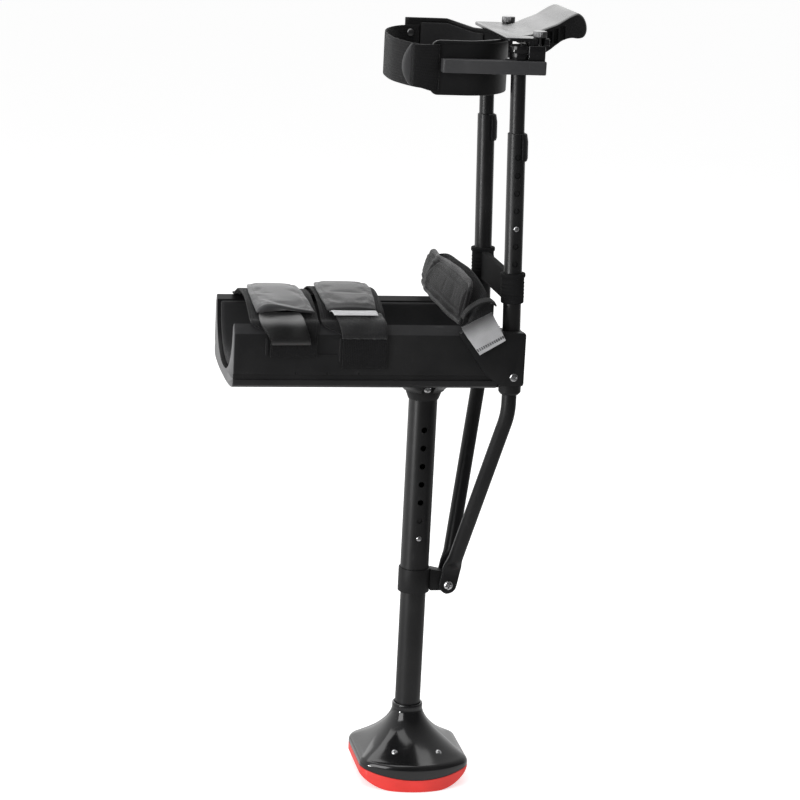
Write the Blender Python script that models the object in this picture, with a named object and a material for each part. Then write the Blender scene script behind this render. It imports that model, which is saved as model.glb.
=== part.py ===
"""Hands-free crutch: rocker foot, telescopic leg, shin tray, two telescopic posts, thigh cuff and grip.

Lengths are in millimetres and become metres when an object is made. +X points forward, to the grip
and the knee, +Y to the far side and +Z up. The origin is on the leg's axis at floor level.
"""
import math

import bmesh
import bpy
from mathutils import Vector

MM = 0.001
CLEAR = 0.3
ROUND = 24
ROUND_SMALL = 12

# Base sizes: all other heights are tied to the tray's rim, and the tray's details to its rear end
TRAY_TOP = 529.0
TRAY_REAR = -220.0
TRAY_FRONT = 84.0
TRAY_HALF = 82.0
LEG_LENGTH = 238.0
POST_LENGTH = 262.6

# Leg: outer tube, inner tube, snap button
LEG_D = 31.5
LEG_WALL = 1.4
LEG_TOP = TRAY_TOP - 76.0
LEG_BOTTOM = LEG_TOP - LEG_LENGTH
LEG_BUTTON_Z = LEG_BOTTOM + 61.0
LEG_PITCH = 20.5
LEG_HOLES = 7
LOWER_TUBE_TOP = LEG_BUTTON_Z + 32.0

# Posts: both lean back a little, towards -X as they rise
POST_Y = TRAY_HALF - 8.0
POST_X = TRAY_FRONT - 10.6
POST_X_AT_Z = TRAY_TOP + 79.0
POST_LEAN = 0.0319
POST_D = 19.05
POST_WALL = 1.2
POST_BOTTOM = TRAY_TOP - 57.6
POST_TOP = POST_BOTTOM + POST_LENGTH
POST_BUTTON_Z = POST_TOP - 100.0
POST_PITCH = 18.8
POST_HOLES = 7
POST_HOLES_BELOW = 2
THIGH_TUBE_D = 15.9
THIGH_TUBE_BOTTOM = POST_BOTTOM + 51.6

# Snap buttons
BUTTON_R = 2.9
BUTTON_FLANGE_R = 3.9
BUTTON_FLANGE = 1.2
BUTTON_PROUD = 1.8
SPRING_LEAF = 0.9
SPRING_WIDTH = 7.0
SPRING_DROP = 34.0

# Foot
FOOT_X = 3.0
FOOT_HALF_LENGTH = 61.0
FOOT_END_HALF_WIDTH = 43.0
FOOT_MID_HALF_WIDTH = 69.0
FOOT_CORNER_R = 7.0
SOLE_FLAT = FOOT_HALF_LENGTH - 36.0
SOLE_ROLL_R = 50.0
SOLE_MID_Z = 13.7
SOLE_END_Z = SOLE_MID_Z + 7.3
TREAD_PITCH = 11.0
TREAD_WIDTH = 3.4
TREAD_DEPTH = 1.8
COVER_RIM_Z = SOLE_MID_Z + 14.3
COVER_NECK_Z = COVER_RIM_Z + 48.0
COVER_TOP_Z = COVER_NECK_Z + 6.0
COVER_NECK_D = LEG_D + 2.5
COVER_WALL = 3.0
COVER_SWELL = 1.65
CORE_PLATE_TOP = COVER_RIM_Z - 3.0
CORE_HUB_D = LEG_D + 3.5
CORE_HUB_TOP = COVER_RIM_Z + 22.0
LOWER_TUBE_BOTTOM = COVER_RIM_Z + 3.0
FOOT_SCREW_X = (FOOT_X - 24.0, FOOT_X + 26.0)
FOOT_SCREW_Y = FOOT_MID_HALF_WIDTH - 23.0
FOOT_SCREW_R = 2.2
FOOT_SCREW_HEAD_R = 3.3
FOOT_SCREW_HEAD = 1.6
FOOT_SCREW_LENGTH = 19.0

# Collar at the leg tube's lower end, with the lug for the struts
COLLAR_D = LEG_D + 3.5
COLLAR_TOP = LEG_BOTTOM + 24.5
COLLAR_LIP = 2.5
STRUT_BOLT_X = 36.6
STRUT_BOLT_Z = LEG_BOTTOM + 6.0
STRUT_BOLT_R = 3.0
LUG_FRONT = STRUT_BOLT_X + 7.4
LUG_HALF_WIDTH = 7.0
LUG_BOTTOM = LEG_BOTTOM - 1.5
BOLT_HEAD_R = 5.2
BOLT_HEAD = 3.4
STRUT_NUT = 5.0
STRUT_BOLT_PAST = 7.0

# Struts
STRUT_D = 16.0
STRUT_WALL = 1.5
STRUT_TOP = TRAY_TOP - 62.4
STRUT_BEND_TOP = STRUT_TOP - 21.6
STRUT_BEND_BOTTOM = STRUT_BEND_TOP - 25.0
STRUT_FLAT = 4.6
STRUT_FLAT_WIDTH = 20.0
STRUT_FLAT_LENGTH = 19.0
STRUT_FLAT_RAMP = 16.0

# Boss between leg and tray
SOCKET_D = LEG_D + 10.5
SOCKET_LOW_D = LEG_D + 2.0
SOCKET_BOTTOM = LEG_TOP - 21.4
SOCKET_TAPER_TOP = SOCKET_BOTTOM + 11.4
SOCKET_TOP = LEG_TOP + 6.0
SOCKET_BOLT_Z = LEG_TOP - 6.3
SOCKET_BOLT_R = 3.0
SOCKET_BOLT_HEAD_R = 4.4
SOCKET_BOLT_HEAD = 2.4
SOCKET_BOLT_PAST = 6.0
SOCKET_NUT_R = 5.0
SOCKET_NUT = 4.5
SOCKET_BOLT_ROOM = 6.5

# Shin tray: sections across X, open on top
TRAY_RIM_HALF = TRAY_HALF - 6.0
TRAY_SHOULDER_Z = TRAY_TOP - 10.0
TRAY_WALL_BOTTOM = TRAY_TOP - 52.6
TRAY_GROOVE_Z = TRAY_WALL_BOTTOM - 6.2
TRAY_GROOVE = 3.0
TRAY_LIP_Z = TRAY_GROOVE_Z - 6.2
TRAY_BELLY_Z = TRAY_LIP_Z - 9.0
FLARE_IN_R = SOCKET_D / 2.0 + 1.5
FLARE_OUT_R = SOCKET_D / 2.0 + 27.0
FLARE_LOW_Z = TRAY_BELLY_Z - 13.5
FLARE_MEET_Z = TRAY_BELLY_Z + 1.0
FLARE_TOP_Z = TRAY_BELLY_Z + 3.5
FLARE_SHARES = (0.0, 0.08, 0.2, 0.4, 0.7, 1.0)
FLARE_POWER = 0.65
TRAY_INNER_HALF = TRAY_RIM_HALF - 5.0
TRAY_INNER_Z = TRAY_TOP - 63.0
TRAY_HOLLOW_POWER = 2.2
TRAY_SKIN = 4.0
CAVITY_IN = 28.0
LINER_WALL = 10.0
LINER_FLOOR = 13.0
LINER_TOP_DROP = 3.0
LINER_INSET = 4.0
NOTCH_X = (TRAY_REAR + 66.0, TRAY_REAR + 99.5, TRAY_REAR + 133.0)
NOTCH_WIDTH = 2.4
SLOT_BARS = (
    (TRAY_REAR + 33.0, TRAY_SHOULDER_Z - 22.0, TRAY_SHOULDER_Z - 4.0),
    (TRAY_REAR + 111.0, TRAY_SHOULDER_Z - 29.0, TRAY_SHOULDER_Z - 3.4),
)
SLOT_BAR_WIDTH = 3.2
SLOT_BAR_PROUD = 1.0

# Knee brackets
BRACKET_OUT = POST_Y + 18.0
BRACKET_CHEEK_IN = TRAY_HALF + 0.5
BRACKET_BLOCK_IN = POST_Y - 12.3
BRACKET_REAR_TOP = POST_X - 58.4
BRACKET_REAR_LOW = POST_X - 27.4
BRACKET_FRONT = POST_X + 15.0
BRACKET_BLOCK_REAR = POST_X - 10.4
BRACKET_TOP = TRAY_TOP - 4.4
BRACKET_BOTTOM = TRAY_TOP - 62.0
BRACKET_REAR_LOW_Z = BRACKET_BOTTOM + 13.0
BRACKET_SOCKET_BOTTOM = BRACKET_BOTTOM - 12.0
BRACKET_SOCKET_R = 12.0
KNEE_SCREW_Z = BRACKET_BOTTOM + 9.5
KNEE_SCREW_R = 2.4
SCREW_HEAD_R = 4.2
SCREW_HEAD = 1.6

# Clips on the posts and the crossbar between them
CLIP_Z = (POST_TOP - 29.0, POST_TOP - 0.5)
CLIP_THICK = 2.4
CLIP_HALF_ANGLE = 68.0
CROSSBAR_Z = (TRAY_TOP + 25.0, TRAY_TOP + 57.0)
CROSSBAR_COLLAR_D = POST_D + 5.25
CROSSBAR_LIP = 1.2
CROSSBAR_LIP_HEIGHT = 4.0
CROSSBAR_PLATE_Z = (TRAY_TOP + 22.5, TRAY_TOP + 54.0)
CROSSBAR_PLATE = 8.0

# Thigh brackets
THIGH_BAR_REAR = POST_X - 89.4
THIGH_BAR_FRONT = POST_X + 20.1
THIGH_BAR_LOW = POST_TOP + 62.0
THIGH_BAR_TOP = THIGH_BAR_LOW + 14.0
THIGH_BAR_OUT = POST_Y + 16.0
THIGH_BAR_IN = POST_Y + 3.0
THIGH_BLOCK_REAR = POST_X - 19.4
THIGH_BLOCK_IN = POST_Y - 10.0
UPSTAND_REAR = POST_X + 1.1
UPSTAND_IN = POST_Y - 7.5
UPSTAND_OUT = POST_Y + 10.0
UPSTAND_TOP = THIGH_BAR_TOP + 15.5
THIGH_RING_R = 11.0
THIGH_RING_TOP = THIGH_BAR_TOP + 8.0
KNOB_X = POST_X + 14.6
KNOB_D = 14.5
KNOB_STUD_D = 4.6
KNOB_TEETH = 12
KNOB_STUD_BOTTOM = THIGH_BAR_TOP - 2.0

# Grip with its flange: the outline holds X from the flange's front and Z from its top
FLANGE_REAR = POST_X - 21.4
FLANGE_FRONT = POST_X + 24.6
FLANGE_HALF = POST_Y + 8.0
FLANGE_TOP = UPSTAND_TOP + 7.5
FLANGE_THICK = 3.6
FLANGE_PAD_BOTTOM = UPSTAND_TOP + CLEAR
FLANGE_NOTCH = 7.4
KNOB_Z = (FLANGE_TOP + CLEAR, FLANGE_TOP + 7.2)
GRIP_HALF = 53.0
GRIP_END_ROUND = 6.0
GRIP_OUTLINE = (
    (-26.0, -0.4), (-12.7, 1.6), (0.8, 7.6), (13.3, 12.6), (20.5, 17.0), (28.7, 22.0),
    (35.5, 24.2), (41.5, 20.5), (45.2, 13.5), (46.0, 6.0), (43.5, 0.0), (38.0, -2.0),
    (31.2, -1.6), (24.9, -2.8), (18.6, -6.0), (12.4, -10.4), (6.2, -15.5), (0.3, -18.5),
    (-6.0, -17.8), (-10.0, -13.0), (-16.0, -5.5), (-24.0, -3.4),
)
GRIP_POCKET = (3.0, 22.0)
GRIP_POCKET_DEPTH = 5.0
GRIP_POCKET_LOW = 7.0
GRIP_POCKET_HIGH = 5.0
GRIP_POCKET_SLOPE = 0.45
GRIP_RIBS = (9.0, 15.5)
GRIP_RIB = 1.6

# Thigh cuff; the band's reach holds X from the cuff's rear end and a share of its half width
CUFF_HALF = POST_Y
CUFF_REAR = THIGH_BAR_REAR - 10.0
CUFF_STRAIGHT = CUFF_REAR + 38.0
CUFF_FRONT = POST_X - 5.4
CUFF_WALL = 3.0
CUFF_RIM = 4.6
CUFF_RIM_HEIGHT = 3.4
CUFF_BOTTOM = THIGH_BAR_LOW - 24.5
CUFF_TOP = FLANGE_TOP - 1.0
CUFF_FRONT_TOP = CUFF_TOP - 3.5
CUFF_SLOPE_START = FLANGE_REAR - 32.0
CUFF_SLOPE_END = FLANGE_REAR - 6.0
CUFF_SLOT_X = (CUFF_REAR + 5.0, CUFF_REAR + 11.5)
CUFF_TILT = 4.0
CUFF_PAD_X = (CUFF_REAR + 17.0, CUFF_FRONT - 14.0)
CUFF_PAD = 2.4
CUFF_PAD_MARGIN = 5.0
BAND_THICK = 1.8
BAND_HEIGHT = 45.0
BAND_FAR_Z = CUFF_TOP - 26.0
BAND_NEAR_Z = BAND_FAR_Z - 6.5
BAND_REACH = (
    (-14.0, 0.838), (-24.0, 0.622), (-30.0, 0.338), (-31.0, 0.054), (-29.0, -0.27), (-21.0, -0.568),
    (-10.0, -0.811),
)
BAND_FOLD = 19.0
RIVET_X = CUFF_REAR + 5.5
RIVET_Z = CUFF_TOP - 12.0
RIVET_R = 2.0

# Straps: under-straps and their pads
STRAP_THICK = 2.2
STRAP_EASE = 14.0
STRAPS = {
    "rear": {"hang": (TRAY_REAR + 38.0, TRAY_REAR + 87.0),
             "top": (TRAY_REAR + 17.0, TRAY_REAR + 89.5),
             "pad": (TRAY_REAR + 24.0, TRAY_REAR + 83.0),
             "bottom": TRAY_TOP - 34.0, "crown": TRAY_TOP + 18.0},
    "front": {"hang": (TRAY_REAR + 114.0, TRAY_REAR + 161.5),
              "top": (TRAY_REAR + 92.0, TRAY_REAR + 161.0),
              "pad": (TRAY_REAR + 98.0, TRAY_REAR + 153.0),
              "bottom": TRAY_TOP - 46.0, "crown": TRAY_TOP + 21.0},
}
PAD_LENGTH = 2.0 * TRAY_INNER_HALF - 12.0
PAD_THICK = 4.6
PAD_CROWN = 1.6
PAD_TAPER = 11.0

# Knee band: rows hold Y as a share of the bracket's outer face, then X and Z of the lower edge and of
# the upper edge, Z from the tray's rim
KNEE_PAD_THICK = 9.0
KNEE_PAD_GROOVE = 1.6
KNEE_PAD_ROWS = (
    (0.8913, 12.0, 17.0, 20.0, 51.0), (0.7826, 8.0, 14.0, 22.0, 61.0),
    (0.4891, 6.0, 12.0, 24.0, 63.0), (0.163, 7.0, 9.0, 26.0, 62.0),
    (-0.163, 10.0, 6.0, 28.0, 60.0), (-0.4891, 15.0, 2.2, 32.0, 56.5),
    (-0.7391, 20.0, 0.6, 34.0, 53.0), (-0.8478, 22.0, 2.0, 34.0, 49.0),
)
KNEE_STRAP_THICK = 2.4
KNEE_STRAP_ROWS = (
    (0.9076, 14.7, 17.0, 22.7, 51.0), (0.7174, 20.0, 16.0, 34.0, 57.0),
    (0.2174, 23.0, 13.0, 39.0, 59.0), (-0.2174, 26.0, 9.0, 42.0, 58.0),
    (-0.5978, 30.0, 6.0, 45.0, 56.0), (-0.8478, 30.0, 7.0, 49.0, 51.0),
    (-1.0, 25.0, 7.0, 52.0, 39.0), (-1.0707, 17.0, 7.5, 53.0, 23.0),
    (-1.0761, 22.0, -3.0, 58.0, 7.0), (-1.0652, 31.0, -16.0, 62.5, -7.0),
    (-1.0598, 38.0, -26.5, 64.0, -16.0),
)

MATERIALS = {
    "black_paint": ((0.012, 0.012, 0.013), 0.42, 0.3),
    "black_plastic": ((0.014, 0.014, 0.015), 0.5, 0.0),
    "gloss_plastic": ((0.010, 0.010, 0.011), 0.16, 0.0),
    "red_rubber": ((0.62, 0.025, 0.02), 0.6, 0.0),
    "bright_steel": ((0.72, 0.72, 0.73), 0.25, 1.0),
    "spring_steel": ((0.45, 0.45, 0.46), 0.35, 1.0),
    "foam": ((0.018, 0.018, 0.019), 0.9, 0.0),
    "dark_webbing": ((0.016, 0.016, 0.017), 0.8, 0.0),
    "grey_satin": ((0.085, 0.085, 0.088), 0.55, 0.0),
    "quilted_fabric": ((0.03, 0.03, 0.032), 0.75, 0.0),
}


def material(name):
    """The named Principled material, made once."""
    made = bpy.data.materials.get(name)
    if made is None:
        colour, roughness, metallic = MATERIALS[name]
        made = bpy.data.materials.new(name)
        made.use_nodes = True
        shader = made.node_tree.nodes["Principled BSDF"]
        shader.inputs["Base Color"].default_value = (*colour, 1.0)
        shader.inputs["Roughness"].default_value = roughness
        shader.inputs["Metallic"].default_value = metallic
    return made


def solid(name, bm, material_name, origin=(0.0, 0.0, 0.0)):
    """An object from a bmesh in millimetres, with its origin at the given point."""
    origin = Vector(origin)
    bmesh.ops.connect_verts_nonplanar(bm, angle_limit=math.radians(0.05), faces=bm.faces[:])
    bmesh.ops.recalc_face_normals(bm, faces=bm.faces)
    for vertex in bm.verts:
        vertex.co = (vertex.co - origin) * MM
    mesh = bpy.data.meshes.new(name)
    bm.to_mesh(mesh)
    bm.free()
    mesh.materials.append(material(material_name))
    mesh.shade_smooth()
    mesh.set_sharp_from_angle(angle=math.radians(35.0))
    made = bpy.data.objects.new(name, mesh)
    made.location = origin * MM
    bpy.context.scene.collection.objects.link(made)
    return made


def combine(target, bm, operation):
    """A Boolean modifier on target, with a hidden helper object made from the bmesh."""
    step = len(target.modifiers) + 1
    helper = solid(f"helper_{target.name}_{step}", bm, "black_plastic")
    helper.hide_render = True
    helper.display_type = "WIRE"
    modifier = target.modifiers.new(f"{operation.lower()}_{step}", "BOOLEAN")
    modifier.operation = operation
    modifier.solver = "EXACT"
    modifier.object = helper


def cut(target, bm):
    combine(target, bm, "DIFFERENCE")


def unite(target, bm):
    combine(target, bm, "UNION")


def loft(loops, ring=False):
    """A skin through loops of equal count: capped at both ends, or closed on itself as a ring."""
    bm = bmesh.new()
    rows = [[bm.verts.new(point) for point in loop] for loop in loops]
    following = rows[1:] + rows[:1] if ring else rows[1:]
    count = len(rows[0])
    for lower, upper in zip(rows, following):
        for i in range(count):
            j = (i + 1) % count
            bm.faces.new((lower[i], lower[j], upper[j], upper[i]))
    if not ring:
        bm.faces.new(rows[0][::-1])
        bm.faces.new(rows[-1])
    bmesh.ops.recalc_face_normals(bm, faces=bm.faces)
    return bm


def together(parts):
    """Several bmeshes as one, for a cutter with many bodies."""
    bm = bmesh.new()
    for part in parts:
        moved = {vertex: bm.verts.new(vertex.co) for vertex in part.verts}
        for face in part.faces:
            bm.faces.new([moved[vertex] for vertex in face.verts])
        part.free()
    return bm


def axes_across(direction):
    """Two unit vectors square to a direction, the first one as near to +X as it can be."""
    along = Vector(direction).normalized()
    guide = Vector((1.0, 0.0, 0.0)) if abs(along.x) < 0.9 else Vector((0.0, 0.0, 1.0))
    first = (guide - along * guide.dot(along)).normalized()
    return first, along.cross(first)


def turned(profile, start, direction, ring=False, count=ROUND):
    """A turned shape: profile holds (radius, distance along the direction from start)."""
    along = Vector(direction).normalized()
    first, second = axes_across(along)
    loops = []
    for radius, distance in profile:
        middle = Vector(start) + along * distance
        angles = [2.0 * math.pi * i / count for i in range(count)]
        loops.append([middle + (first * math.cos(a) + second * math.sin(a)) * radius for a in angles])
    return loft(loops, ring)


def rod(start, end, radius, count=ROUND):
    span = Vector(end) - Vector(start)
    return turned([(radius, 0.0), (radius, span.length)], start, span, count=count)


def pipe(start, end, outer, inner, count=ROUND):
    span = Vector(end) - Vector(start)
    profile = [(outer, 0.0), (outer, span.length), (inner, span.length), (inner, 0.0)]
    return turned(profile, start, span, ring=True, count=count)


def block(low, high, bevel=0.0, segments=2):
    """A box between two corners, with its edges rounded."""
    bm = bmesh.new()
    bmesh.ops.create_cube(bm, size=1.0)
    low = Vector(low)
    high = Vector(high)
    for vertex in bm.verts:
        share = vertex.co + Vector((0.5, 0.5, 0.5))
        vertex.co = low + Vector([share[i] * (high - low)[i] for i in range(3)])
    if bevel:
        bmesh.ops.bevel(bm, geom=bm.edges[:], offset=bevel, segments=segments, profile=0.5, affect="EDGES")
    return bm


def prism(outline, low_y, high_y):
    """An outline in X and Z, drawn out along Y."""
    return loft([[Vector((x, y, z)) for x, z in outline] for y in (low_y, high_y)])


def plate(outline, low_z, high_z):
    """An outline in X and Y, drawn out along Z."""
    return loft([[Vector((x, y, z)) for x, y in outline] for z in (low_z, high_z)])


def rounded(corners, radius, steps=4):
    """A closed outline with its corners rounded by arcs."""
    points = []
    for i, corner in enumerate(corners):
        here = Vector(corner)
        before = (Vector(corners[i - 1]) - here).normalized()
        after = (Vector(corners[(i + 1) % len(corners)]) - here).normalized()
        half = before.angle(after) / 2.0
        reach = radius / math.tan(half)
        centre = here + (before + after).normalized() * (radius / math.sin(half))
        start = here + before * reach - centre
        end = here + after * reach - centre
        turn = start.angle_signed(end)
        for k in range(steps + 1):
            angle = -turn * k / steps
            swung = Vector((start.x * math.cos(angle) - start.y * math.sin(angle),
                            start.x * math.sin(angle) + start.y * math.cos(angle)))
            points.append(tuple(centre + swung))
    return points


def smooth_curve(points, steps, closed=False):
    """A Catmull-Rom curve through points, with a number of steps in each span."""
    points = [Vector(p) for p in points]
    count = len(points)
    result = []
    for i in range(count if closed else count - 1):
        if closed:
            a, b, c, d = (points[(i + k) % count] for k in (-1, 0, 1, 2))
        else:
            b, c = points[i], points[i + 1]
            a = points[i - 1] if i else b * 2.0 - c
            d = points[i + 2] if i + 2 < count else c * 2.0 - b
        for k in range(steps):
            t = k / steps
            result.append(0.5 * (2.0 * b + (c - a) * t + (2.0 * a - 5.0 * b + 4.0 * c - d) * t ** 2
                                 + (3.0 * b - a - 3.0 * c + d) * t ** 3))
    if not closed:
        result.append(points[-1])
    return result


def post_x(z):
    return POST_X - POST_LEAN * (z - POST_X_AT_Z)


def post_at(z, side):
    """The point of a post's axis at a height; side is -1 on the near side and 1 on the far side."""
    return Vector((post_x(z), side * POST_Y, z))


POST_UP = Vector((-POST_LEAN, 0.0, 1.0)).normalized()
LEG_R = LEG_D / 2.0
LOWER_TUBE_R = LEG_R - LEG_WALL - CLEAR
POST_R = POST_D / 2.0
THIGH_TUBE_R = THIGH_TUBE_D / 2.0
HOLE_R = BUTTON_R + CLEAR + 0.05


def button_seat(inner_wall):
    """How far from the tube's axis the outer face of a button's flange can lie."""
    return math.sqrt((inner_wall * 0.99) ** 2 - BUTTON_FLANGE_R ** 2) - CLEAR


def side_name(side):
    return "near" if side < 0 else "far"


def foot_half_width(x):
    """Half width of the foot at x, bowed from its ends to its middle, with rounded corners."""
    from_middle = min(abs(x - FOOT_X), FOOT_HALF_LENGTH)
    bow = FOOT_MID_HALF_WIDTH - FOOT_END_HALF_WIDTH
    radius = (FOOT_HALF_LENGTH ** 2 + bow ** 2) / (2.0 * bow)
    width = FOOT_MID_HALF_WIDTH - radius + math.sqrt(radius ** 2 - from_middle ** 2)
    into_corner = from_middle - (FOOT_HALF_LENGTH - FOOT_CORNER_R)
    if into_corner > 0.0:
        width -= FOOT_CORNER_R - math.sqrt(max(FOOT_CORNER_R ** 2 - into_corner ** 2, 0.0))
    return width


def sole_top(x):
    """Height of the seam between sole and cover, higher towards the ends."""
    share = abs(x - FOOT_X) / FOOT_HALF_LENGTH
    return SOLE_MID_Z + (SOLE_END_Z - SOLE_MID_Z) * share ** 2


def sole_bottom(x):
    """Height of the walking surface: flat in the middle, rolled up at both ends."""
    past = max(abs(x) - SOLE_FLAT, 0.0)
    return SOLE_ROLL_R - math.sqrt(max(SOLE_ROLL_R ** 2 - past ** 2, 0.0))


def foot_sole():
    """Sections across X, with a tread groove wherever one falls."""
    rear = FOOT_X - FOOT_HALF_LENGTH
    front = FOOT_X + FOOT_HALF_LENGTH
    stations = [(x, 0.0) for x in (rear, rear + 0.8, rear + 2.5, rear + 4.5)]
    stations += [(x, 0.0) for x in (front - 4.5, front - 2.5, front - 0.8, front)]
    first = -TREAD_PITCH * 4.5
    for i in range(10):
        middle = first + i * TREAD_PITCH
        low = middle - TREAD_WIDTH / 2.0
        high = middle + TREAD_WIDTH / 2.0
        stations += [(low, 0.0), (low + 0.01, TREAD_DEPTH), (high - 0.01, TREAD_DEPTH), (high, 0.0)]
        stations.append((high + (TREAD_PITCH - TREAD_WIDTH) / 2.0, 0.0))
    stations = sorted(s for s in stations if rear <= s[0] <= front)
    loops = []
    for x, groove in stations:
        width = foot_half_width(x)
        top = sole_top(x)
        bottom = sole_bottom(x) + groove
        loops.append([Vector((x, y, z)) for y, z in (
            (-width, top), (-width, bottom), (0.0, bottom), (width, bottom), (width, top), (0.0, top))])
    return solid("foot_sole", loft(loops), "red_rubber")


def foot_outline(inset, count=32):
    """The foot's plan as points at even angles about its middle."""
    points = []
    for i in range(count):
        angle = 2.0 * math.pi * (i + 0.5) / count
        low, high = 0.0, 100.0
        for _ in range(30):
            reach = (low + high) / 2.0
            x = reach * math.cos(angle)
            y = abs(reach * math.sin(angle))
            inside = abs(x) < FOOT_HALF_LENGTH - 0.5 and y < foot_half_width(FOOT_X + x)
            low, high = (reach, high) if inside else (low, reach)
        reach = low - inset
        points.append((FOOT_X + reach * math.cos(angle), reach * math.sin(angle)))
    return points


def dome_loop(height, inset, count=32):
    """One level of the cover: the foot's plan drawn in towards the round neck."""
    share = (height - COVER_RIM_Z) / (COVER_NECK_Z - COVER_RIM_Z)
    share = min(max(share, 0.0), 1.0)
    blend = (1.0 - share) ** COVER_SWELL
    loop = []
    for i, (x, y) in enumerate(foot_outline(0.0, count)):
        angle = 2.0 * math.pi * (i + 0.5) / count
        neck_x = math.cos(angle) * COVER_NECK_D / 2.0
        neck_y = math.sin(angle) * COVER_NECK_D / 2.0
        place = Vector((neck_x + (x - neck_x) * blend, neck_y + (y - neck_y) * blend))
        middle = Vector((FOOT_X * blend, 0.0))
        place = middle + (place - middle) * (1.0 - inset / (place - middle).length)
        loop.append(Vector((place.x, place.y, height)))
    return loop


def dome_height(x, y):
    """Height of the cover's outer face above a point of its plan."""
    low, high = COVER_RIM_Z, COVER_NECK_Z
    angle = math.atan2(y, x - FOOT_X)
    for _ in range(30):
        height = (low + high) / 2.0
        loop = dome_loop(height, 0.0, 96)
        nearest = min(loop, key=lambda p: abs(math.atan2(p.y, p.x - FOOT_X) - angle))
        outside = math.hypot(x - FOOT_X, y) > math.hypot(nearest.x - FOOT_X, nearest.y)
        low, high = (low, height) if outside else (height, high)
    return low


def foot_screw_places():
    """Where each screw meets the cover, and the direction square to the cover there."""
    places = []
    for side in (-1, 1):
        for x in FOOT_SCREW_X:
            y = side * FOOT_SCREW_Y
            slope_x = (dome_height(x + 3.0, y) - dome_height(x - 3.0, y)) / 6.0
            slope_y = (dome_height(x, y + 3.0) - dome_height(x, y - 3.0)) / 6.0
            places.append((Vector((x, y, dome_height(x, y))), Vector((-slope_x, -slope_y, 1.0)).normalized()))
    return places


def foot_cover():
    """The domed shell: outer levels going up, then the inner levels coming down."""
    shares = (0.0, 0.12, 0.28, 0.46, 0.64, 0.82, 1.0)
    levels = [COVER_RIM_Z + (COVER_NECK_Z - COVER_RIM_Z) * share for share in shares]
    bore = LOWER_TUBE_R + CLEAR
    rim = [Vector((p.x, p.y, sole_top(p.x) + CLEAR)) for p in dome_loop(COVER_RIM_Z, 0.0)]
    outer = [rim] + [dome_loop(z, 0.0) for z in levels] + [dome_loop(COVER_TOP_Z, 0.0)]
    inner = [dome_loop(COVER_TOP_Z, COVER_NECK_D / 2.0 - bore)]
    inner.append(dome_loop(COVER_NECK_Z - 8.0, COVER_NECK_D / 2.0 - bore))
    for z in reversed(levels[:-3]):
        inner.append([p - Vector((0.0, 0.0, COVER_WALL)) for p in dome_loop(z, COVER_WALL)])
    low = [Vector((p.x, p.y, sole_top(p.x) + CLEAR)) for p in dome_loop(COVER_RIM_Z, COVER_WALL)]
    made = solid("foot_cover", loft(outer + inner + [low], ring=True), "gloss_plastic")
    for spot, out in foot_screw_places():
        cut(made, rod(spot - out * FOOT_SCREW_LENGTH, spot + out * 6.0, FOOT_SCREW_R + CLEAR, 10))
        sunk = spot - out * FOOT_SCREW_HEAD * 0.5
        cut(made, rod(sunk, spot + out * 6.0, FOOT_SCREW_HEAD_R + CLEAR, ROUND_SMALL))
    return made


def foot_core():
    """Hub plate between sole and cover, with the socket for the tube."""
    inset = COVER_WALL + 1.0
    low = [Vector((x, y, sole_top(x) + CLEAR)) for x, y in foot_outline(inset)]
    high = [Vector((x, y, CORE_PLATE_TOP)) for x, y in foot_outline(inset)]
    made = solid("foot_core", loft([low, high]), "black_plastic")
    hub_base = SOLE_MID_Z + 6.0
    hub = rod((0.0, 0.0, hub_base), (0.0, 0.0, CORE_HUB_TOP), CORE_HUB_D / 2.0)
    unite(made, hub)
    seat = (0.0, 0.0, LOWER_TUBE_BOTTOM - CLEAR)
    cut(made, rod(seat, (0.0, 0.0, CORE_HUB_TOP + 5.0), LOWER_TUBE_R + CLEAR))
    for spot, out in foot_screw_places():
        cut(made, rod(spot - out * (FOOT_SCREW_LENGTH + CLEAR), spot, FOOT_SCREW_R + CLEAR, 10))
    return made


def foot_screws():
    """Four screws square to the cover, their heads half sunk in its face."""
    for number, (spot, out) in enumerate(foot_screw_places(), 1):
        seat = FOOT_SCREW_LENGTH - FOOT_SCREW_HEAD * 0.5 + CLEAR
        profile = [(FOOT_SCREW_R, 0.0), (FOOT_SCREW_R, seat), (FOOT_SCREW_HEAD_R, seat),
                   (FOOT_SCREW_HEAD_R, seat + FOOT_SCREW_HEAD * 0.6),
                   (FOOT_SCREW_HEAD_R * 0.6, seat + FOOT_SCREW_HEAD)]
        shank = turned(profile, spot - out * FOOT_SCREW_LENGTH, out, count=10)
        solid(f"foot_screw_{number}", shank, "bright_steel")


def row_of_holes(start, up, out, pitch, first, count, radius, reach):
    """Cutter rods for holes in one wall of a tube, one pitch apart along the tube."""
    rods = []
    for i in range(count):
        middle = Vector(start) + Vector(up) * pitch * (first + i)
        ends = [middle + Vector(out) * distance for distance in reach]
        rods.append(rod(*ends, radius, ROUND_SMALL))
    return together(rods)


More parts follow.
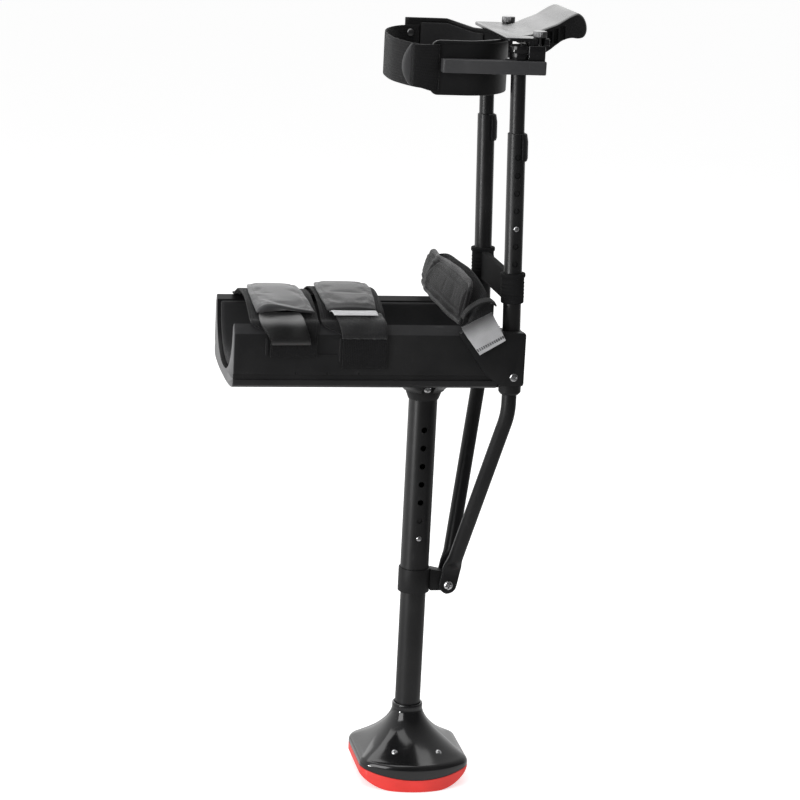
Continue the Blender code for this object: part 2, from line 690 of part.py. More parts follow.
def leg_tubes():
    """The leg's outer tube with its holes and the sliding inner tube."""
    near = Vector((0.0, -1.0, 0.0))
    skin = pipe((0, 0, LEG_BOTTOM), (0, 0, LEG_TOP), LEG_R, LEG_R - LEG_WALL)
    outer = solid("leg_tube", skin, "black_paint")
    cut(outer, row_of_holes((0, 0, LEG_BUTTON_Z), (0, 0, 1), near, LEG_PITCH, 0, LEG_HOLES, HOLE_R,
                            (LEG_R - 6.0, LEG_R + 4.0)))
    cut(outer, rod((0, -LEG_D, SOCKET_BOLT_Z), (0, LEG_D, SOCKET_BOLT_Z), SOCKET_BOLT_R + CLEAR, ROUND_SMALL))
    skin = pipe((0, 0, LOWER_TUBE_BOTTOM), (0, 0, LOWER_TUBE_TOP), LOWER_TUBE_R, LOWER_TUBE_R - LEG_WALL)
    inner = solid("lower_leg_tube", skin, "black_paint")
    cut(inner, row_of_holes((0, 0, LEG_BUTTON_Z), (0, 0, 1), near, LEG_PITCH, 0, 1, HOLE_R,
                            (LOWER_TUBE_R - 6.0, LOWER_TUBE_R + 4.0)))


def snap_button(name, axis_point, out, tube_outer, inner_wall):
    """A domed pin with a flange inside the inner tube, on a line that points out."""
    seat = button_seat(inner_wall)
    inside = seat - BUTTON_FLANGE
    tip = tube_outer + BUTTON_PROUD
    profile = [(BUTTON_FLANGE_R, inside), (BUTTON_FLANGE_R, seat), (BUTTON_R, seat), (BUTTON_R, tip - 1.5),
               (BUTTON_R * 0.87, tip - 0.6),
               (BUTTON_R * 0.5, tip - 0.1), (BUTTON_R * 0.15, tip)]
    start = Vector(axis_point)
    return solid(name, turned(profile, start, out, count=ROUND_SMALL), "bright_steel",
                 origin=start + Vector(out) * inside)


def leaf_spring(name, axis_point, up, out, inner_wall):
    """A bent leaf: one arm behind the button, the other against the tube's back wall."""
    up = Vector(up)
    out = Vector(out)
    across = up.cross(out).normalized()
    front = button_seat(inner_wall) - BUTTON_FLANGE - CLEAR - SPRING_LEAF / 2.0
    back = -math.sqrt((inner_wall * 0.99) ** 2 - (SPRING_WIDTH / 2.0) ** 2) + CLEAR + SPRING_LEAF / 2.0
    bend = (front + back) / 2.0
    drawn_in = (front - bend) * 0.3
    route = smooth_curve([(front, 5.0), (front, -5.0), (front - drawn_in, -15.0),
                          (bend + 2.2, -SPRING_DROP + 4.0), (bend, -SPRING_DROP),
                          (bend - 2.2, -SPRING_DROP + 4.0), (back + drawn_in, -15.0),
                          (back, -5.0), (back, 12.0)], 2)
    loops = []
    for i, point in enumerate(route):
        before = route[max(i - 1, 0)]
        after = route[min(i + 1, len(route) - 1)]
        along = (after - before).normalized()
        sideways = Vector((-along.y, along.x)) * SPRING_LEAF / 2.0
        corners = []
        for across_share, edge in ((-1, sideways), (1, sideways), (1, -sideways), (-1, -sideways)):
            spot = point + edge
            sideways_by = across * across_share * SPRING_WIDTH / 2.0
            corners.append(Vector(axis_point) + out * spot.x + up * spot.y + sideways_by)
        loops.append(corners)
    return solid(name, loft(loops), "spring_steel")


def leg_collar():
    """Ring round the leg tube's lower end, a lip under the tube, and the lug for the struts."""
    profile = [(COLLAR_D / 2.0, 0.0), (COLLAR_D / 2.0, COLLAR_TOP - LEG_BOTTOM + COLLAR_LIP),
               (LEG_R + CLEAR, COLLAR_TOP - LEG_BOTTOM + COLLAR_LIP), (LEG_R + CLEAR, COLLAR_LIP - CLEAR),
               (LOWER_TUBE_R + CLEAR, COLLAR_LIP - CLEAR), (LOWER_TUBE_R + CLEAR, 0.0)]
    base = (0.0, 0.0, LEG_BOTTOM - COLLAR_LIP)
    made = solid("leg_collar", turned(profile, base, (0, 0, 1), ring=True), "black_plastic")
    outline = rounded([(LEG_R + 0.9, COLLAR_TOP - 1.0), (LUG_FRONT - 5.0, COLLAR_TOP - 6.0),
                       (LUG_FRONT, STRUT_BOLT_Z), (LUG_FRONT - 4.0, LUG_BOTTOM),
                       (LEG_R + 0.9, LUG_BOTTOM)], 2.0, 2)
    unite(made, prism(outline, -LUG_HALF_WIDTH, LUG_HALF_WIDTH))
    far, near = LUG_HALF_WIDTH + 13.0, -LUG_HALF_WIDTH - 13.0
    cut(made, rod((STRUT_BOLT_X, near, STRUT_BOLT_Z), (STRUT_BOLT_X, far, STRUT_BOLT_Z), STRUT_BOLT_R + CLEAR,
                  ROUND_SMALL))


def bolt_along_y(name, x, z, radius, low_y, high_y, head_r, head):
    """A bolt with a domed head at its near end."""
    profile = [(head_r * 0.7, 0.0), (head_r * 0.95, head * 0.3), (head_r, head * 0.6), (head_r, head),
               (radius, head), (radius, high_y - low_y)]
    return solid(name, turned(profile, (x, low_y, z), (0, 1, 0), count=ROUND_SMALL), "bright_steel")


def nut_along_y(name, x, z, bore, low_y, thickness, radius):
    corner = bore / math.cos(math.pi / 6.0)
    profile = [(radius, 0.0), (radius, thickness), (corner, thickness), (corner, 0.0)]
    return solid(name, turned(profile, (x, low_y, z), (0, 1, 0), ring=True, count=6), "bright_steel")


def strut(side):
    """A bent tube from the knee bracket to the lug, its lower end pressed flat."""
    flat_y = side * (LUG_HALF_WIDTH + CLEAR + STRUT_FLAT / 2.0)
    top_x = post_x(STRUT_TOP)
    top = Vector((top_x, side * POST_Y, STRUT_TOP))
    knee = Vector((top_x, side * POST_Y, (STRUT_BEND_TOP + STRUT_BEND_BOTTOM) / 2.0))
    bolt = Vector((STRUT_BOLT_X, flat_y, STRUT_BOLT_Z))
    slope = Vector((knee.x - bolt.x, 0.0, knee.z - bolt.z)).normalized()
    end = bolt - slope * STRUT_FLAT_WIDTH / 2.0
    flat_top = bolt + slope * STRUT_FLAT_LENGTH
    ramp_top = flat_top + (knee - flat_top).normalized() * STRUT_FLAT_RAMP
    reach = (STRUT_BEND_TOP - STRUT_BEND_BOTTOM) / 2.0
    lean = (ramp_top - knee).normalized()
    bend = []
    for k in range(5):
        t = k / 4.0
        start = knee + Vector((0, 0, reach))
        finish = knee + lean * reach
        bend.append(start * (1 - t) ** 2 + knee * 2.0 * t * (1 - t) + finish * t ** 2)
    radius = STRUT_D / 2.0
    route = [(top, radius, radius)] + [(p, radius, radius) for p in bend] + [(ramp_top, radius, radius)]
    half = (STRUT_FLAT / 2.0, STRUT_FLAT_WIDTH / 2.0)
    middle = (ramp_top + flat_top) / 2.0
    route.append((middle, (radius + half[0]) / 2.0, (radius + half[1]) / 2.0))
    route.append((flat_top, half[0], half[1]))
    route.append((bolt, half[0], half[1]))
    route.append((bolt - slope * half[1] * 0.6, half[0], half[1] * 0.8))
    route.append((end, half[0], half[1] * 0.35))
    count = 14
    loops = []
    places = [r[0] for r in route]
    for i, (place, thick, wide) in enumerate(route):
        along = (places[min(i + 1, len(route) - 1)] - places[max(i - 1, 0)]).normalized()
        if i >= len(route) - 4:
            along = -slope
        thin = (Vector((0, 1, 0)) - along * along.y).normalized()
        broad = along.cross(thin)
        power = 1.0 if thick > STRUT_FLAT / 2.0 + 0.1 else 0.35
        loop = []
        for k in range(count):
            a = 2.0 * math.pi * (k + 0.5) / count
            c = math.copysign(abs(math.cos(a)) ** power, math.cos(a))
            s = math.copysign(abs(math.sin(a)) ** 1.0, math.sin(a))
            loop.append(place + thin * thick * c + broad * wide * s)
        loops.append(loop)
    bore = []
    for i in range(6):
        place = places[i]
        bore.append([place + (p - place) * (1.0 - STRUT_WALL / radius) for p in loops[i]])
    made = solid(f"strut_{side_name(side)}", loft(loops[::-1] + bore), "black_paint")
    cut(made, rod((STRUT_BOLT_X, flat_y - 6, STRUT_BOLT_Z), (STRUT_BOLT_X, flat_y + 6, STRUT_BOLT_Z),
                  STRUT_BOLT_R + CLEAR, ROUND_SMALL))


def leg_socket():
    """Tapered boss: the leg tube enters from below and a bolt crosses both."""
    low = SOCKET_BOTTOM
    profile = [(SOCKET_LOW_D / 2.0, 0.0), (SOCKET_D / 2.0, SOCKET_TAPER_TOP - low),
               (SOCKET_D / 2.0, SOCKET_TOP - low), (LEG_R - 6.0, SOCKET_TOP - low),
               (LEG_R - 6.0, LEG_TOP + CLEAR - low),
               (LEG_R + CLEAR, LEG_TOP + CLEAR - low), (LEG_R + CLEAR, 0.0)]
    made = solid("leg_socket", turned(profile, (0, 0, low), (0, 0, 1), ring=True), "black_plastic")
    cut(made, rod((0, -SOCKET_D, SOCKET_BOLT_Z), (0, SOCKET_D, SOCKET_BOLT_Z), SOCKET_BOLT_R + CLEAR,
                  ROUND_SMALL))


def hollow_z(y, half, top, floor):
    """Height of a rounded trough at y: floor in the middle, top at y equal to half."""
    share = min(abs(y) / half, 1.0)
    return top - (top - floor) * (1.0 - share ** TRAY_HOLLOW_POWER) ** (1.0 / TRAY_HOLLOW_POWER)


TROUGH = [math.sin(math.pi / 2.0 * k / 9.0) for k in range(-9, 10)]


def trough(wall, floor):
    """The tray's hollow from rim to rim, drawn in by a wall at the sides and a floor below."""
    across = [TRAY_INNER_HALF * share for share in TROUGH]
    points = [Vector((y, hollow_z(y, TRAY_INNER_HALF, TRAY_TOP, TRAY_INNER_Z))) for y in across]
    result = []
    for i, point in enumerate(points):
        along = (points[min(i + 1, len(points) - 1)] - points[max(i - 1, 0)]).normalized()
        normal = Vector((-along.y, along.x))
        if i in (0, len(points) - 1):
            normal = Vector((-math.copysign(1.0, point.x), 0.0))
        inset = wall + (floor - wall) * (1.0 - abs(TROUGH[i]))
        result.append(point + normal * inset)
    return result


def tray_section(x):
    """Outer skin from the near rim down and up to the far rim, then the trough back to the near rim."""
    side = [(TRAY_RIM_HALF, TRAY_TOP), (TRAY_HALF, TRAY_SHOULDER_Z), (TRAY_HALF, TRAY_WALL_BOTTOM),
            (TRAY_HALF - TRAY_GROOVE, TRAY_WALL_BOTTOM), (TRAY_HALF - TRAY_GROOVE, TRAY_GROOVE_Z),
            (TRAY_HALF - 1.0, TRAY_GROOVE_Z), (TRAY_HALF - 3.0, TRAY_LIP_Z)]
    lip_half = TRAY_HALF - 3.0
    for share in (0.85, 0.65, 0.42, 0.2):
        side.append((lip_half * share, TRAY_LIP_Z - (TRAY_LIP_Z - TRAY_BELLY_Z) * math.sqrt(1.0 - share ** 2)))
    outer = [(-y, z) for y, z in side] + [(0.0, TRAY_BELLY_Z)] + [(y, z) for y, z in reversed(side)]
    inner = [(point.x, point.y) for point in reversed(trough(0.0, 0.0))]
    return [Vector((x, y, z)) for y, z in outer + inner]


def ended_at(points, level):
    """A trough's points with both ends drawn down their last span to a level."""
    points = [point.copy() for point in points]
    for end, inward in ((0, 1), (-1, -2)):
        share = (level - points[inward].y) / (points[end].y - points[inward].y)
        points[end] = points[inward].lerp(points[end], share)
    return points


def side_cavity(side):
    """Hollow between the trough and the outer skin on one side, open at the tray's front end."""
    skin = TRAY_SKIN
    half = TRAY_HALF - TRAY_GROOVE
    top = TRAY_SHOULDER_Z - 5.0
    under = trough(-skin, -skin)
    shares = (0.85, 0.65, CAVITY_IN / half)
    upper = [(p.x, p.y) for p in under if p.x > CAVITY_IN + 3.0 and p.y < top - 4.0]
    drop = TRAY_LIP_Z - TRAY_BELLY_Z
    floor = TRAY_LIP_Z + skin + 0.5
    lower = [(half * share, floor - drop * math.sqrt(1.0 - share ** 2)) for share in shares]
    outline = [(CAVITY_IN, upper[0][1] - 1.5)] + upper
    outline += [(TRAY_HALF - skin - 2.6, top), (TRAY_HALF - skin, top)]
    outline += [(TRAY_HALF - skin, TRAY_WALL_BOTTOM + 3.0), (half - skin, TRAY_WALL_BOTTOM + 1.0),
                (half - skin, TRAY_GROOVE_Z)] + lower
    ends = (TRAY_REAR + 12.0, TRAY_FRONT + 5.0)
    return loft([[Vector((x, side * y, z)) for y, z in outline] for x in ends])


def flare():
    """Hollow-sided cone under the tray: it spreads from round the socket up into the belly."""
    profile = []
    for share in FLARE_SHARES:
        radius = FLARE_IN_R + (FLARE_OUT_R - FLARE_IN_R) * share
        profile.append((radius, (FLARE_MEET_Z - FLARE_LOW_Z) * share ** FLARE_POWER))
    profile.append((FLARE_OUT_R, FLARE_TOP_Z - FLARE_LOW_Z))
    return turned(profile, (0, 0, FLARE_LOW_Z), (0, 0, 1))


def bracket_room(side, grow):
    """The knee bracket's inner block, grown on all sides, to cut the tray and its liner."""
    low = (BRACKET_BLOCK_REAR - grow, BRACKET_BLOCK_IN - grow, BRACKET_SOCKET_BOTTOM - 20.0)
    high = (BRACKET_FRONT + 20.0, BRACKET_OUT + grow, BRACKET_TOP + 20.0)
    if side < 0:
        low, high = (low[0], -high[1], low[2]), (high[0], -low[1], high[2])
    return block(low, high)


def tray_shell():
    made = solid("tray_shell", loft([tray_section(x) for x in (TRAY_REAR, TRAY_FRONT)]), "black_plastic")
    unite(made, flare())
    bars = []
    for x, low, high in SLOT_BARS:
        for side in (-1, 1):
            inner = side * (TRAY_HALF - 2.0)
            outer = side * (TRAY_HALF + SLOT_BAR_PROUD)
            bars.append(block((x, min(inner, outer), low), (x + SLOT_BAR_WIDTH, max(inner, outer), high)))
    unite(made, together(bars))
    cut(made, rod((0, 0, SOCKET_BOTTOM - 10), (0, 0, SOCKET_TOP + CLEAR), SOCKET_D / 2.0 + CLEAR, 32))
    bolt_room = block((-SOCKET_BOLT_ROOM, -FLARE_OUT_R - 1.0, SOCKET_BOTTOM),
                      (SOCKET_BOLT_ROOM, FLARE_OUT_R + 1.0, SOCKET_BOLT_Z + SOCKET_BOLT_ROOM))
    cut(made, bolt_room)
    notches = []
    for x in NOTCH_X:
        for side in (-1, 1):
            middle = side * TRAY_HALF
            notches.append(block((x - NOTCH_WIDTH / 2.0, middle - 1.5, TRAY_WALL_BOTTOM - 1.0),
                                 (x + NOTCH_WIDTH / 2.0, middle + 1.5, TRAY_WALL_BOTTOM + 2.5)))
    cut(made, together(notches))
    for side in (-1, 1):
        cut(made, side_cavity(side))
        cut(made, bracket_room(side, CLEAR))


def tray_liner():
    """Foam on the trough, drawn in a little at both ends, with a softly rounded top edge."""
    top = TRAY_TOP - LINER_TOP_DROP
    gap = CLEAR + 0.05
    ends = ((TRAY_REAR + LINER_INSET, 2.0), (TRAY_REAR + LINER_INSET + 1.5, 0.6),
            (TRAY_REAR + LINER_INSET + 5.0, 0.0),
            (TRAY_REAR + 75.0, 0.0), (TRAY_REAR + 155.0, 0.0), (TRAY_FRONT - 64.0, 0.0),
            (TRAY_FRONT - LINER_INSET - 5.0, 0.0),
            (TRAY_FRONT - LINER_INSET - 1.5, 0.6), (TRAY_FRONT - LINER_INSET, 2.0))
    loops = []
    for x, tuck in ends:
        outer = [tuple(p) for p in ended_at(trough(gap, gap), top - 2.5)]
        inside = ended_at(trough(gap + LINER_WALL - tuck, gap + LINER_FLOOR - tuck), top - 2.5)
        inner = [tuple(p) for p in reversed(inside)]
        far = [(outer[-1][0] - 3.0, top - tuck), (inner[0][0] + 3.0, top - tuck)]
        near = [(-y, z) for y, z in reversed(far)]
        loops.append([Vector((x, y, z)) for y, z in outer + far + inner + near])
    made = solid("tray_liner", loft(loops), "foam")
    for side in (-1, 1):
        cut(made, bracket_room(side, 2.0 * CLEAR))


def knee_bracket(side):
    """Cheek outside the tray wall, a block round the post and a socket for the strut."""
    cheek = [(BRACKET_REAR_TOP, BRACKET_TOP), (BRACKET_REAR_LOW, BRACKET_REAR_LOW_Z),
             (BRACKET_BLOCK_REAR, BRACKET_BOTTOM), (BRACKET_FRONT, BRACKET_BOTTOM),
             (BRACKET_FRONT, BRACKET_TOP)]
    low, high = sorted((side * BRACKET_CHEEK_IN, side * BRACKET_OUT))
    made = solid(f"knee_bracket_{side_name(side)}", prism(rounded(cheek, 2.5, 2), low, high), "black_plastic")
    low, high = sorted((side * BRACKET_BLOCK_IN, side * (BRACKET_OUT - 1.0)))
    unite(made, block((BRACKET_BLOCK_REAR, low, BRACKET_BOTTOM + 0.4),
                      (BRACKET_FRONT - 0.5, high, BRACKET_TOP - 0.5), 1.5, 1))
    foot = post_at(BRACKET_SOCKET_BOTTOM, side)
    foot.x = post_x(STRUT_TOP)
    profile = [(BRACKET_SOCKET_R - 2.0, 0.0), (BRACKET_SOCKET_R, 2.5), (BRACKET_SOCKET_R, 16.0)]
    unite(made, turned(profile, foot, (0, 0, 1), count=24))
    cut(made, rod(post_at(POST_BOTTOM - CLEAR, side), post_at(BRACKET_TOP + 10.0, side), POST_R + CLEAR))
    strut_top = Vector((foot.x, foot.y, STRUT_TOP + CLEAR))
    cut(made, rod(foot - Vector((0, 0, 10)), strut_top, STRUT_D / 2.0 + CLEAR, 20))
    screw = Vector((post_x(KNEE_SCREW_Z), 0.0, KNEE_SCREW_Z))
    out = Vector((0, side, 0))
    cut(made, rod(screw + out * (POST_Y - 2.0), screw + out * (BRACKET_OUT + 5.0), KNEE_SCREW_R + CLEAR, 14))


def knee_screw(side):
    """Screw through the bracket's cheek into the post."""
    out = Vector((0, side, 0))
    start = Vector((post_x(KNEE_SCREW_Z), 0.0, KNEE_SCREW_Z)) + out * (POST_Y + POST_R - POST_WALL - 2.0)
    length = BRACKET_OUT - (POST_Y + POST_R - POST_WALL - 2.0)
    profile = [(KNEE_SCREW_R, 0.0), (KNEE_SCREW_R, length + CLEAR), (SCREW_HEAD_R, length + CLEAR),
               (SCREW_HEAD_R, length + SCREW_HEAD * 0.6), (SCREW_HEAD_R * 0.7, length + SCREW_HEAD)]
    solid(f"knee_screw_{side_name(side)}", turned(profile, start, out, count=ROUND_SMALL), "bright_steel")


def post(side):
    """Outer tube with its holes, inner tube, snap button and leaf spring of one side."""
    name = side_name(side)
    out = Vector((0, side, 0))
    outer = solid(f"post_tube_{name}", pipe(post_at(POST_BOTTOM, side), post_at(POST_TOP, side), POST_R,
                                            POST_R - POST_WALL, 20), "black_paint")
    reach = (POST_R - 4.0, POST_R + 4.0)
    button = post_at(POST_BUTTON_Z, side)
    cut(outer, row_of_holes(button, POST_UP, out, POST_PITCH, -POST_HOLES_BELOW, POST_HOLES, HOLE_R, reach))
    screw = post_at(KNEE_SCREW_Z, side)
    cut(outer, row_of_holes(screw, POST_UP, out, 0.0, 0, 1, KNEE_SCREW_R + CLEAR, reach))
    inner = solid(f"thigh_tube_{name}", pipe(post_at(THIGH_TUBE_BOTTOM, side),
                                             post_at(FLANGE_PAD_BOTTOM - 2.0 * CLEAR, side), THIGH_TUBE_R,
                                             THIGH_TUBE_R - POST_WALL, 20), "black_paint")
    reach = (THIGH_TUBE_R - 4.0, THIGH_TUBE_R + 3.0)
    cut(inner, row_of_holes(button, POST_UP, out, POST_PITCH, 0, 1, HOLE_R, reach))
    snap_button(f"post_button_{name}", button, out, POST_R, THIGH_TUBE_R - POST_WALL)
    leaf_spring(f"post_spring_{name}", button, POST_UP, out, THIGH_TUBE_R - POST_WALL)


def post_clip(side):
    """A tapered half ring on the front of the outer tube's top."""
    low, high = CLIP_Z
    levels = [(low, 0.6), (low + 3.0, 1.0), (high - 8.0, 1.0), (high, 0.45)]
    inner = POST_R + CLEAR
    loops = []
    steps = 10
    for z, share in levels:
        middle = post_at(z, side)
        angles = [math.radians(CLIP_HALF_ANGLE) * (2.0 * k / steps - 1.0) for k in range(steps + 1)]
        thick = CLIP_THICK * share
        outside = [middle + Vector((math.cos(a), math.sin(a), 0)) * (inner + thick) for a in angles]
        inside = [middle + Vector((math.cos(a), math.sin(a), 0)) * inner for a in reversed(angles)]
        loops.append(outside + inside)
    solid(f"post_clip_{side_name(side)}", loft(loops), "black_plastic")


def crossbar():
    """Plate between the posts with a ribbed collar round each."""
    half = CROSSBAR_PLATE / 2.0
    low, high = CROSSBAR_PLATE_Z
    outline = rounded([(post_x(low) - half, low), (post_x(high) - half, high), (post_x(high) + half, high),
                       (post_x(low) + half, low)], 1.5, 2)
    made = solid("crossbar", prism(outline, -POST_Y, POST_Y), "black_plastic")
    bottom, top = CROSSBAR_Z
    radius = CROSSBAR_COLLAR_D / 2.0
    height = (top - bottom) / POST_UP.z
    profile = [(radius - 0.8, 0.0), (radius, 1.0), (radius, height - CROSSBAR_LIP_HEIGHT),
               (radius + CROSSBAR_LIP, height - CROSSBAR_LIP_HEIGHT + 1.0),
               (radius + CROSSBAR_LIP, height - 0.8), (radius, height)]
    for side in (-1, 1):
        unite(made, turned(profile, post_at(bottom, side), POST_UP, count=20))
    for side in (-1, 1):
        cut(made, rod(post_at(bottom - 20.0, side), post_at(top + 20.0, side), POST_R + CLEAR, 20))


def thigh_bracket(side):
    """Bar outside the cuff, block round the inner tube and upstand that takes the thumb screw."""
    name = side_name(side)
    bar = [(THIGH_BAR_REAR, THIGH_BAR_IN), (THIGH_BLOCK_REAR, THIGH_BAR_IN),
           (THIGH_BLOCK_REAR, THIGH_BLOCK_IN), (THIGH_BAR_FRONT, THIGH_BLOCK_IN),
           (THIGH_BAR_FRONT, THIGH_BAR_OUT), (THIGH_BAR_REAR, THIGH_BAR_OUT)]
    low, high = THIGH_BAR_LOW, THIGH_BAR_TOP
    outline = [(x, side * y) for x, y in rounded(bar, 2.5, 2)]
    made = solid(f"thigh_bracket_{name}", plate(outline, low, high), "black_plastic")
    low_y, high_y = sorted((side * UPSTAND_IN, side * UPSTAND_OUT))
    front = THIGH_BAR_FRONT - 0.6
    unite(made, block((UPSTAND_REAR, low_y, high - 3.0), (front, high_y, UPSTAND_TOP), 1.2, 1))
    unite(made, rod(post_at(low - 2.0, side), post_at(THIGH_RING_TOP, side), THIGH_RING_R, 24))
    cut(made, rod(post_at(low - 10.0, side), post_at(UPSTAND_TOP + 10.0, side), THIGH_TUBE_R + CLEAR, 24))
    cut(made, rod((KNOB_X, side * POST_Y, KNOB_STUD_BOTTOM - 2.0), (KNOB_X, side * POST_Y, UPSTAND_TOP + 5.0),
                  KNOB_STUD_D / 2.0 + CLEAR, 14))


def knob(side):
    """Knurled thumb screw: head above the flange, threaded stud down into the bracket."""
    loops = []
    low, high = KNOB_Z
    centre = Vector((KNOB_X, side * POST_Y, 0.0))
    count = KNOB_TEETH * 2
    stud = KNOB_STUD_D / 2.0
    head = KNOB_D / 2.0
    for z, radius, knurl in ((KNOB_STUD_BOTTOM, stud, 0.0), (low, stud, 0.0), (low, head - 0.9, 0.0),
                             (low + 0.8, head, 0.35), (high - 0.8, head, 0.35), (high, head - 0.9, 0.0)):
        loop = []
        for k in range(count):
            a = 2.0 * math.pi * k / count
            reach = radius - knurl * (k % 2)
            loop.append(centre + Vector((math.cos(a) * reach, math.sin(a) * reach, z)))
        loops.append(loop)
    solid(f"knob_{side_name(side)}", loft(loops), "bright_steel", origin=(KNOB_X, side * POST_Y, low))


def grip_loop(y, inset):
    """The grip's outline at y, drawn in from all sides."""
    curve = [Vector((FLANGE_FRONT + x, FLANGE_TOP + z)) for x, z in GRIP_OUTLINE]
    middle = sum(curve, Vector((0.0, 0.0))) / len(curve)
    size = max((p - middle).length for p in curve)
    drawn = [p - (p - middle) * inset / size for p in curve]
    return [Vector((p.x, y, p.y)) for p in drawn]


def handle():
    """Palm part drawn along Y between rounded ends, on a wider flange with pads for the thumb screws."""
    stations = [(GRIP_HALF, GRIP_END_ROUND)]
    stations += [(GRIP_HALF - GRIP_END_ROUND * (1.0 - math.cos(a)), GRIP_END_ROUND * (1.0 - math.sin(a)))
                 for a in (0.5, 1.0, math.pi / 2.0)]
    rows = [(-y, inset) for y, inset in stations] + [(y, inset) for y, inset in reversed(stations)]
    made = solid("handle", loft([grip_loop(y, inset) for y, inset in rows]), "gloss_plastic")
    flange = rounded([(FLANGE_REAR, -FLANGE_HALF), (FLANGE_FRONT, -FLANGE_HALF), (FLANGE_FRONT, FLANGE_HALF),
                      (FLANGE_REAR, FLANGE_HALF)], 6.0, 3)
    unite(made, plate(flange, FLANGE_TOP - FLANGE_THICK, FLANGE_TOP))
    for side in (-1, 1):
        low, high = sorted((side * (UPSTAND_IN - 1.0), side * (FLANGE_HALF - 0.5)))
        unite(made, block((UPSTAND_REAR, low, FLANGE_PAD_BOTTOM),
                          (FLANGE_FRONT - 1.0, high, FLANGE_TOP - 1.0)))
        low, high = sorted((side * (POST_Y - FLANGE_NOTCH / 2.0), side * (FLANGE_HALF + 5.0)))
        cut(made, block((KNOB_X - FLANGE_NOTCH / 2.0, low, FLANGE_PAD_BOTTOM - 5.0),
                        (KNOB_X + FLANGE_NOTCH / 2.0, high, FLANGE_TOP + 0.2)))
        low, high = sorted((side * (GRIP_HALF - GRIP_POCKET_DEPTH), side * (GRIP_HALF + 5.0)))
        edges = [GRIP_POCKET[0]]
        for rib in GRIP_RIBS:
            edges += [rib - GRIP_RIB / 2.0, rib + GRIP_RIB / 2.0]
        edges.append(GRIP_POCKET[1])
        cells = []
        for start, end in zip(edges[::2], edges[1::2]):
            top = FLANGE_TOP + GRIP_POCKET_HIGH + (start - GRIP_POCKET[0]) * GRIP_POCKET_SLOPE
            cells.append(block((FLANGE_FRONT + start, low, FLANGE_TOP - GRIP_POCKET_LOW),
                               (FLANGE_FRONT + end, high, top)))
        cut(made, together(cells))


def cuff_path(offset, steps=9):
    """The cuff's plan from the far rear end round the front to the near rear end."""
    half = CUFF_HALF + offset
    reach = CUFF_FRONT + offset - CUFF_STRAIGHT
    points = [(CUFF_STRAIGHT + reach * math.sin(a), half * math.cos(a))
              for a in [math.pi * k / (2 * steps) for k in range(2 * steps + 1)]]
    return points


def cuff_top(x, y):
    """Height of the cuff's upper edge: higher on the far side, lower at the front under the grip's flange."""
    share = min(max((x - CUFF_SLOPE_START) / (CUFF_SLOPE_END - CUFF_SLOPE_START), 0.0), 1.0)
    side_top = CUFF_TOP + CUFF_TILT * y / CUFF_HALF
    return side_top - (side_top - CUFF_FRONT_TOP) * share


def cuff_shell():
    outer_side = CUFF_WALL / 2.0
    rim_side = CUFF_RIM / 2.0
    sections = []
    for offset, level in ((outer_side, 0.0), (outer_side, -CUFF_RIM_HEIGHT), (rim_side, -CUFF_RIM_HEIGHT),
                          (rim_side, -0.8), (rim_side - 1.2, 0.0), (1.2 - rim_side, 0.0), (-rim_side, -0.8),
                          (-rim_side, -CUFF_RIM_HEIGHT), (-outer_side, -CUFF_RIM_HEIGHT), (-outer_side, 0.0)):
        points = cuff_path(offset)
        points = [(CUFF_REAR, points[0][1])] + points + [(CUFF_REAR, points[-1][1])]
        sections.append((points, level))
    loops = []
    for i in range(len(sections[0][0])):
        loop = []
        for k, (points, level) in enumerate(sections):
            x, y = points[i]
            bottom = k in (0, len(sections) - 1)
            loop.append(Vector((x, y, CUFF_BOTTOM if bottom else cuff_top(x, y) + level)))
        loops.append(loop)
    made = solid("cuff_shell", loft(loops), "black_plastic")
    middle = BAND_NEAR_Z
    half = BAND_HEIGHT / 2.0 + 1.0
    cut(made, block((CUFF_SLOT_X[0], -CUFF_HALF - 5.0, middle - half), (CUFF_SLOT_X[1], -CUFF_HALF + 5.0,
                                                                      middle + half)))
    cut(made, rod((RIVET_X, CUFF_HALF - 6.0, RIVET_Z), (RIVET_X, CUFF_HALF + 6.0, RIVET_Z), RIVET_R + CLEAR,
                  14))


def cuff_pad(side):
    """Thin foam panel inside one side of the cuff."""
    outer = -CUFF_RIM / 2.0 - CLEAR
    inner = outer - CUFF_PAD
    loops = []
    low, high = CUFF_PAD_X
    xs = [low, low + 1.0] + [CUFF_STRAIGHT + (high - CUFF_STRAIGHT) * k / 6.0 for k in range(6)]
    xs += [high - 0.8, high]
    for i, x in enumerate(xs):
        ys = []
        for offset in (outer, inner):
            reach = CUFF_FRONT + offset - CUFF_STRAIGHT
            share = min(max((x - CUFF_STRAIGHT) / reach, 0.0), 1.0)
            ys.append((CUFF_HALF + offset) * math.sqrt(1.0 - share ** 2))
        thin = 0.8 if i in (0, len(xs) - 1) else 0.0
        outside, inside = ys[0], ys[1] + thin
        bottom = CUFF_BOTTOM + CUFF_PAD_MARGIN
        top = cuff_top(x, side * CUFF_HALF) - CUFF_PAD_MARGIN
        loops.append([Vector((x, side * y, z)) for y, z in (
            (outside, bottom), (outside, top), (inside + 0.6, top), (inside, top - 1.5),
            (inside, bottom + 1.5), (inside + 0.6, bottom))])
    solid(f"cuff_pad_{side_name(side)}", loft(loops), "foam")


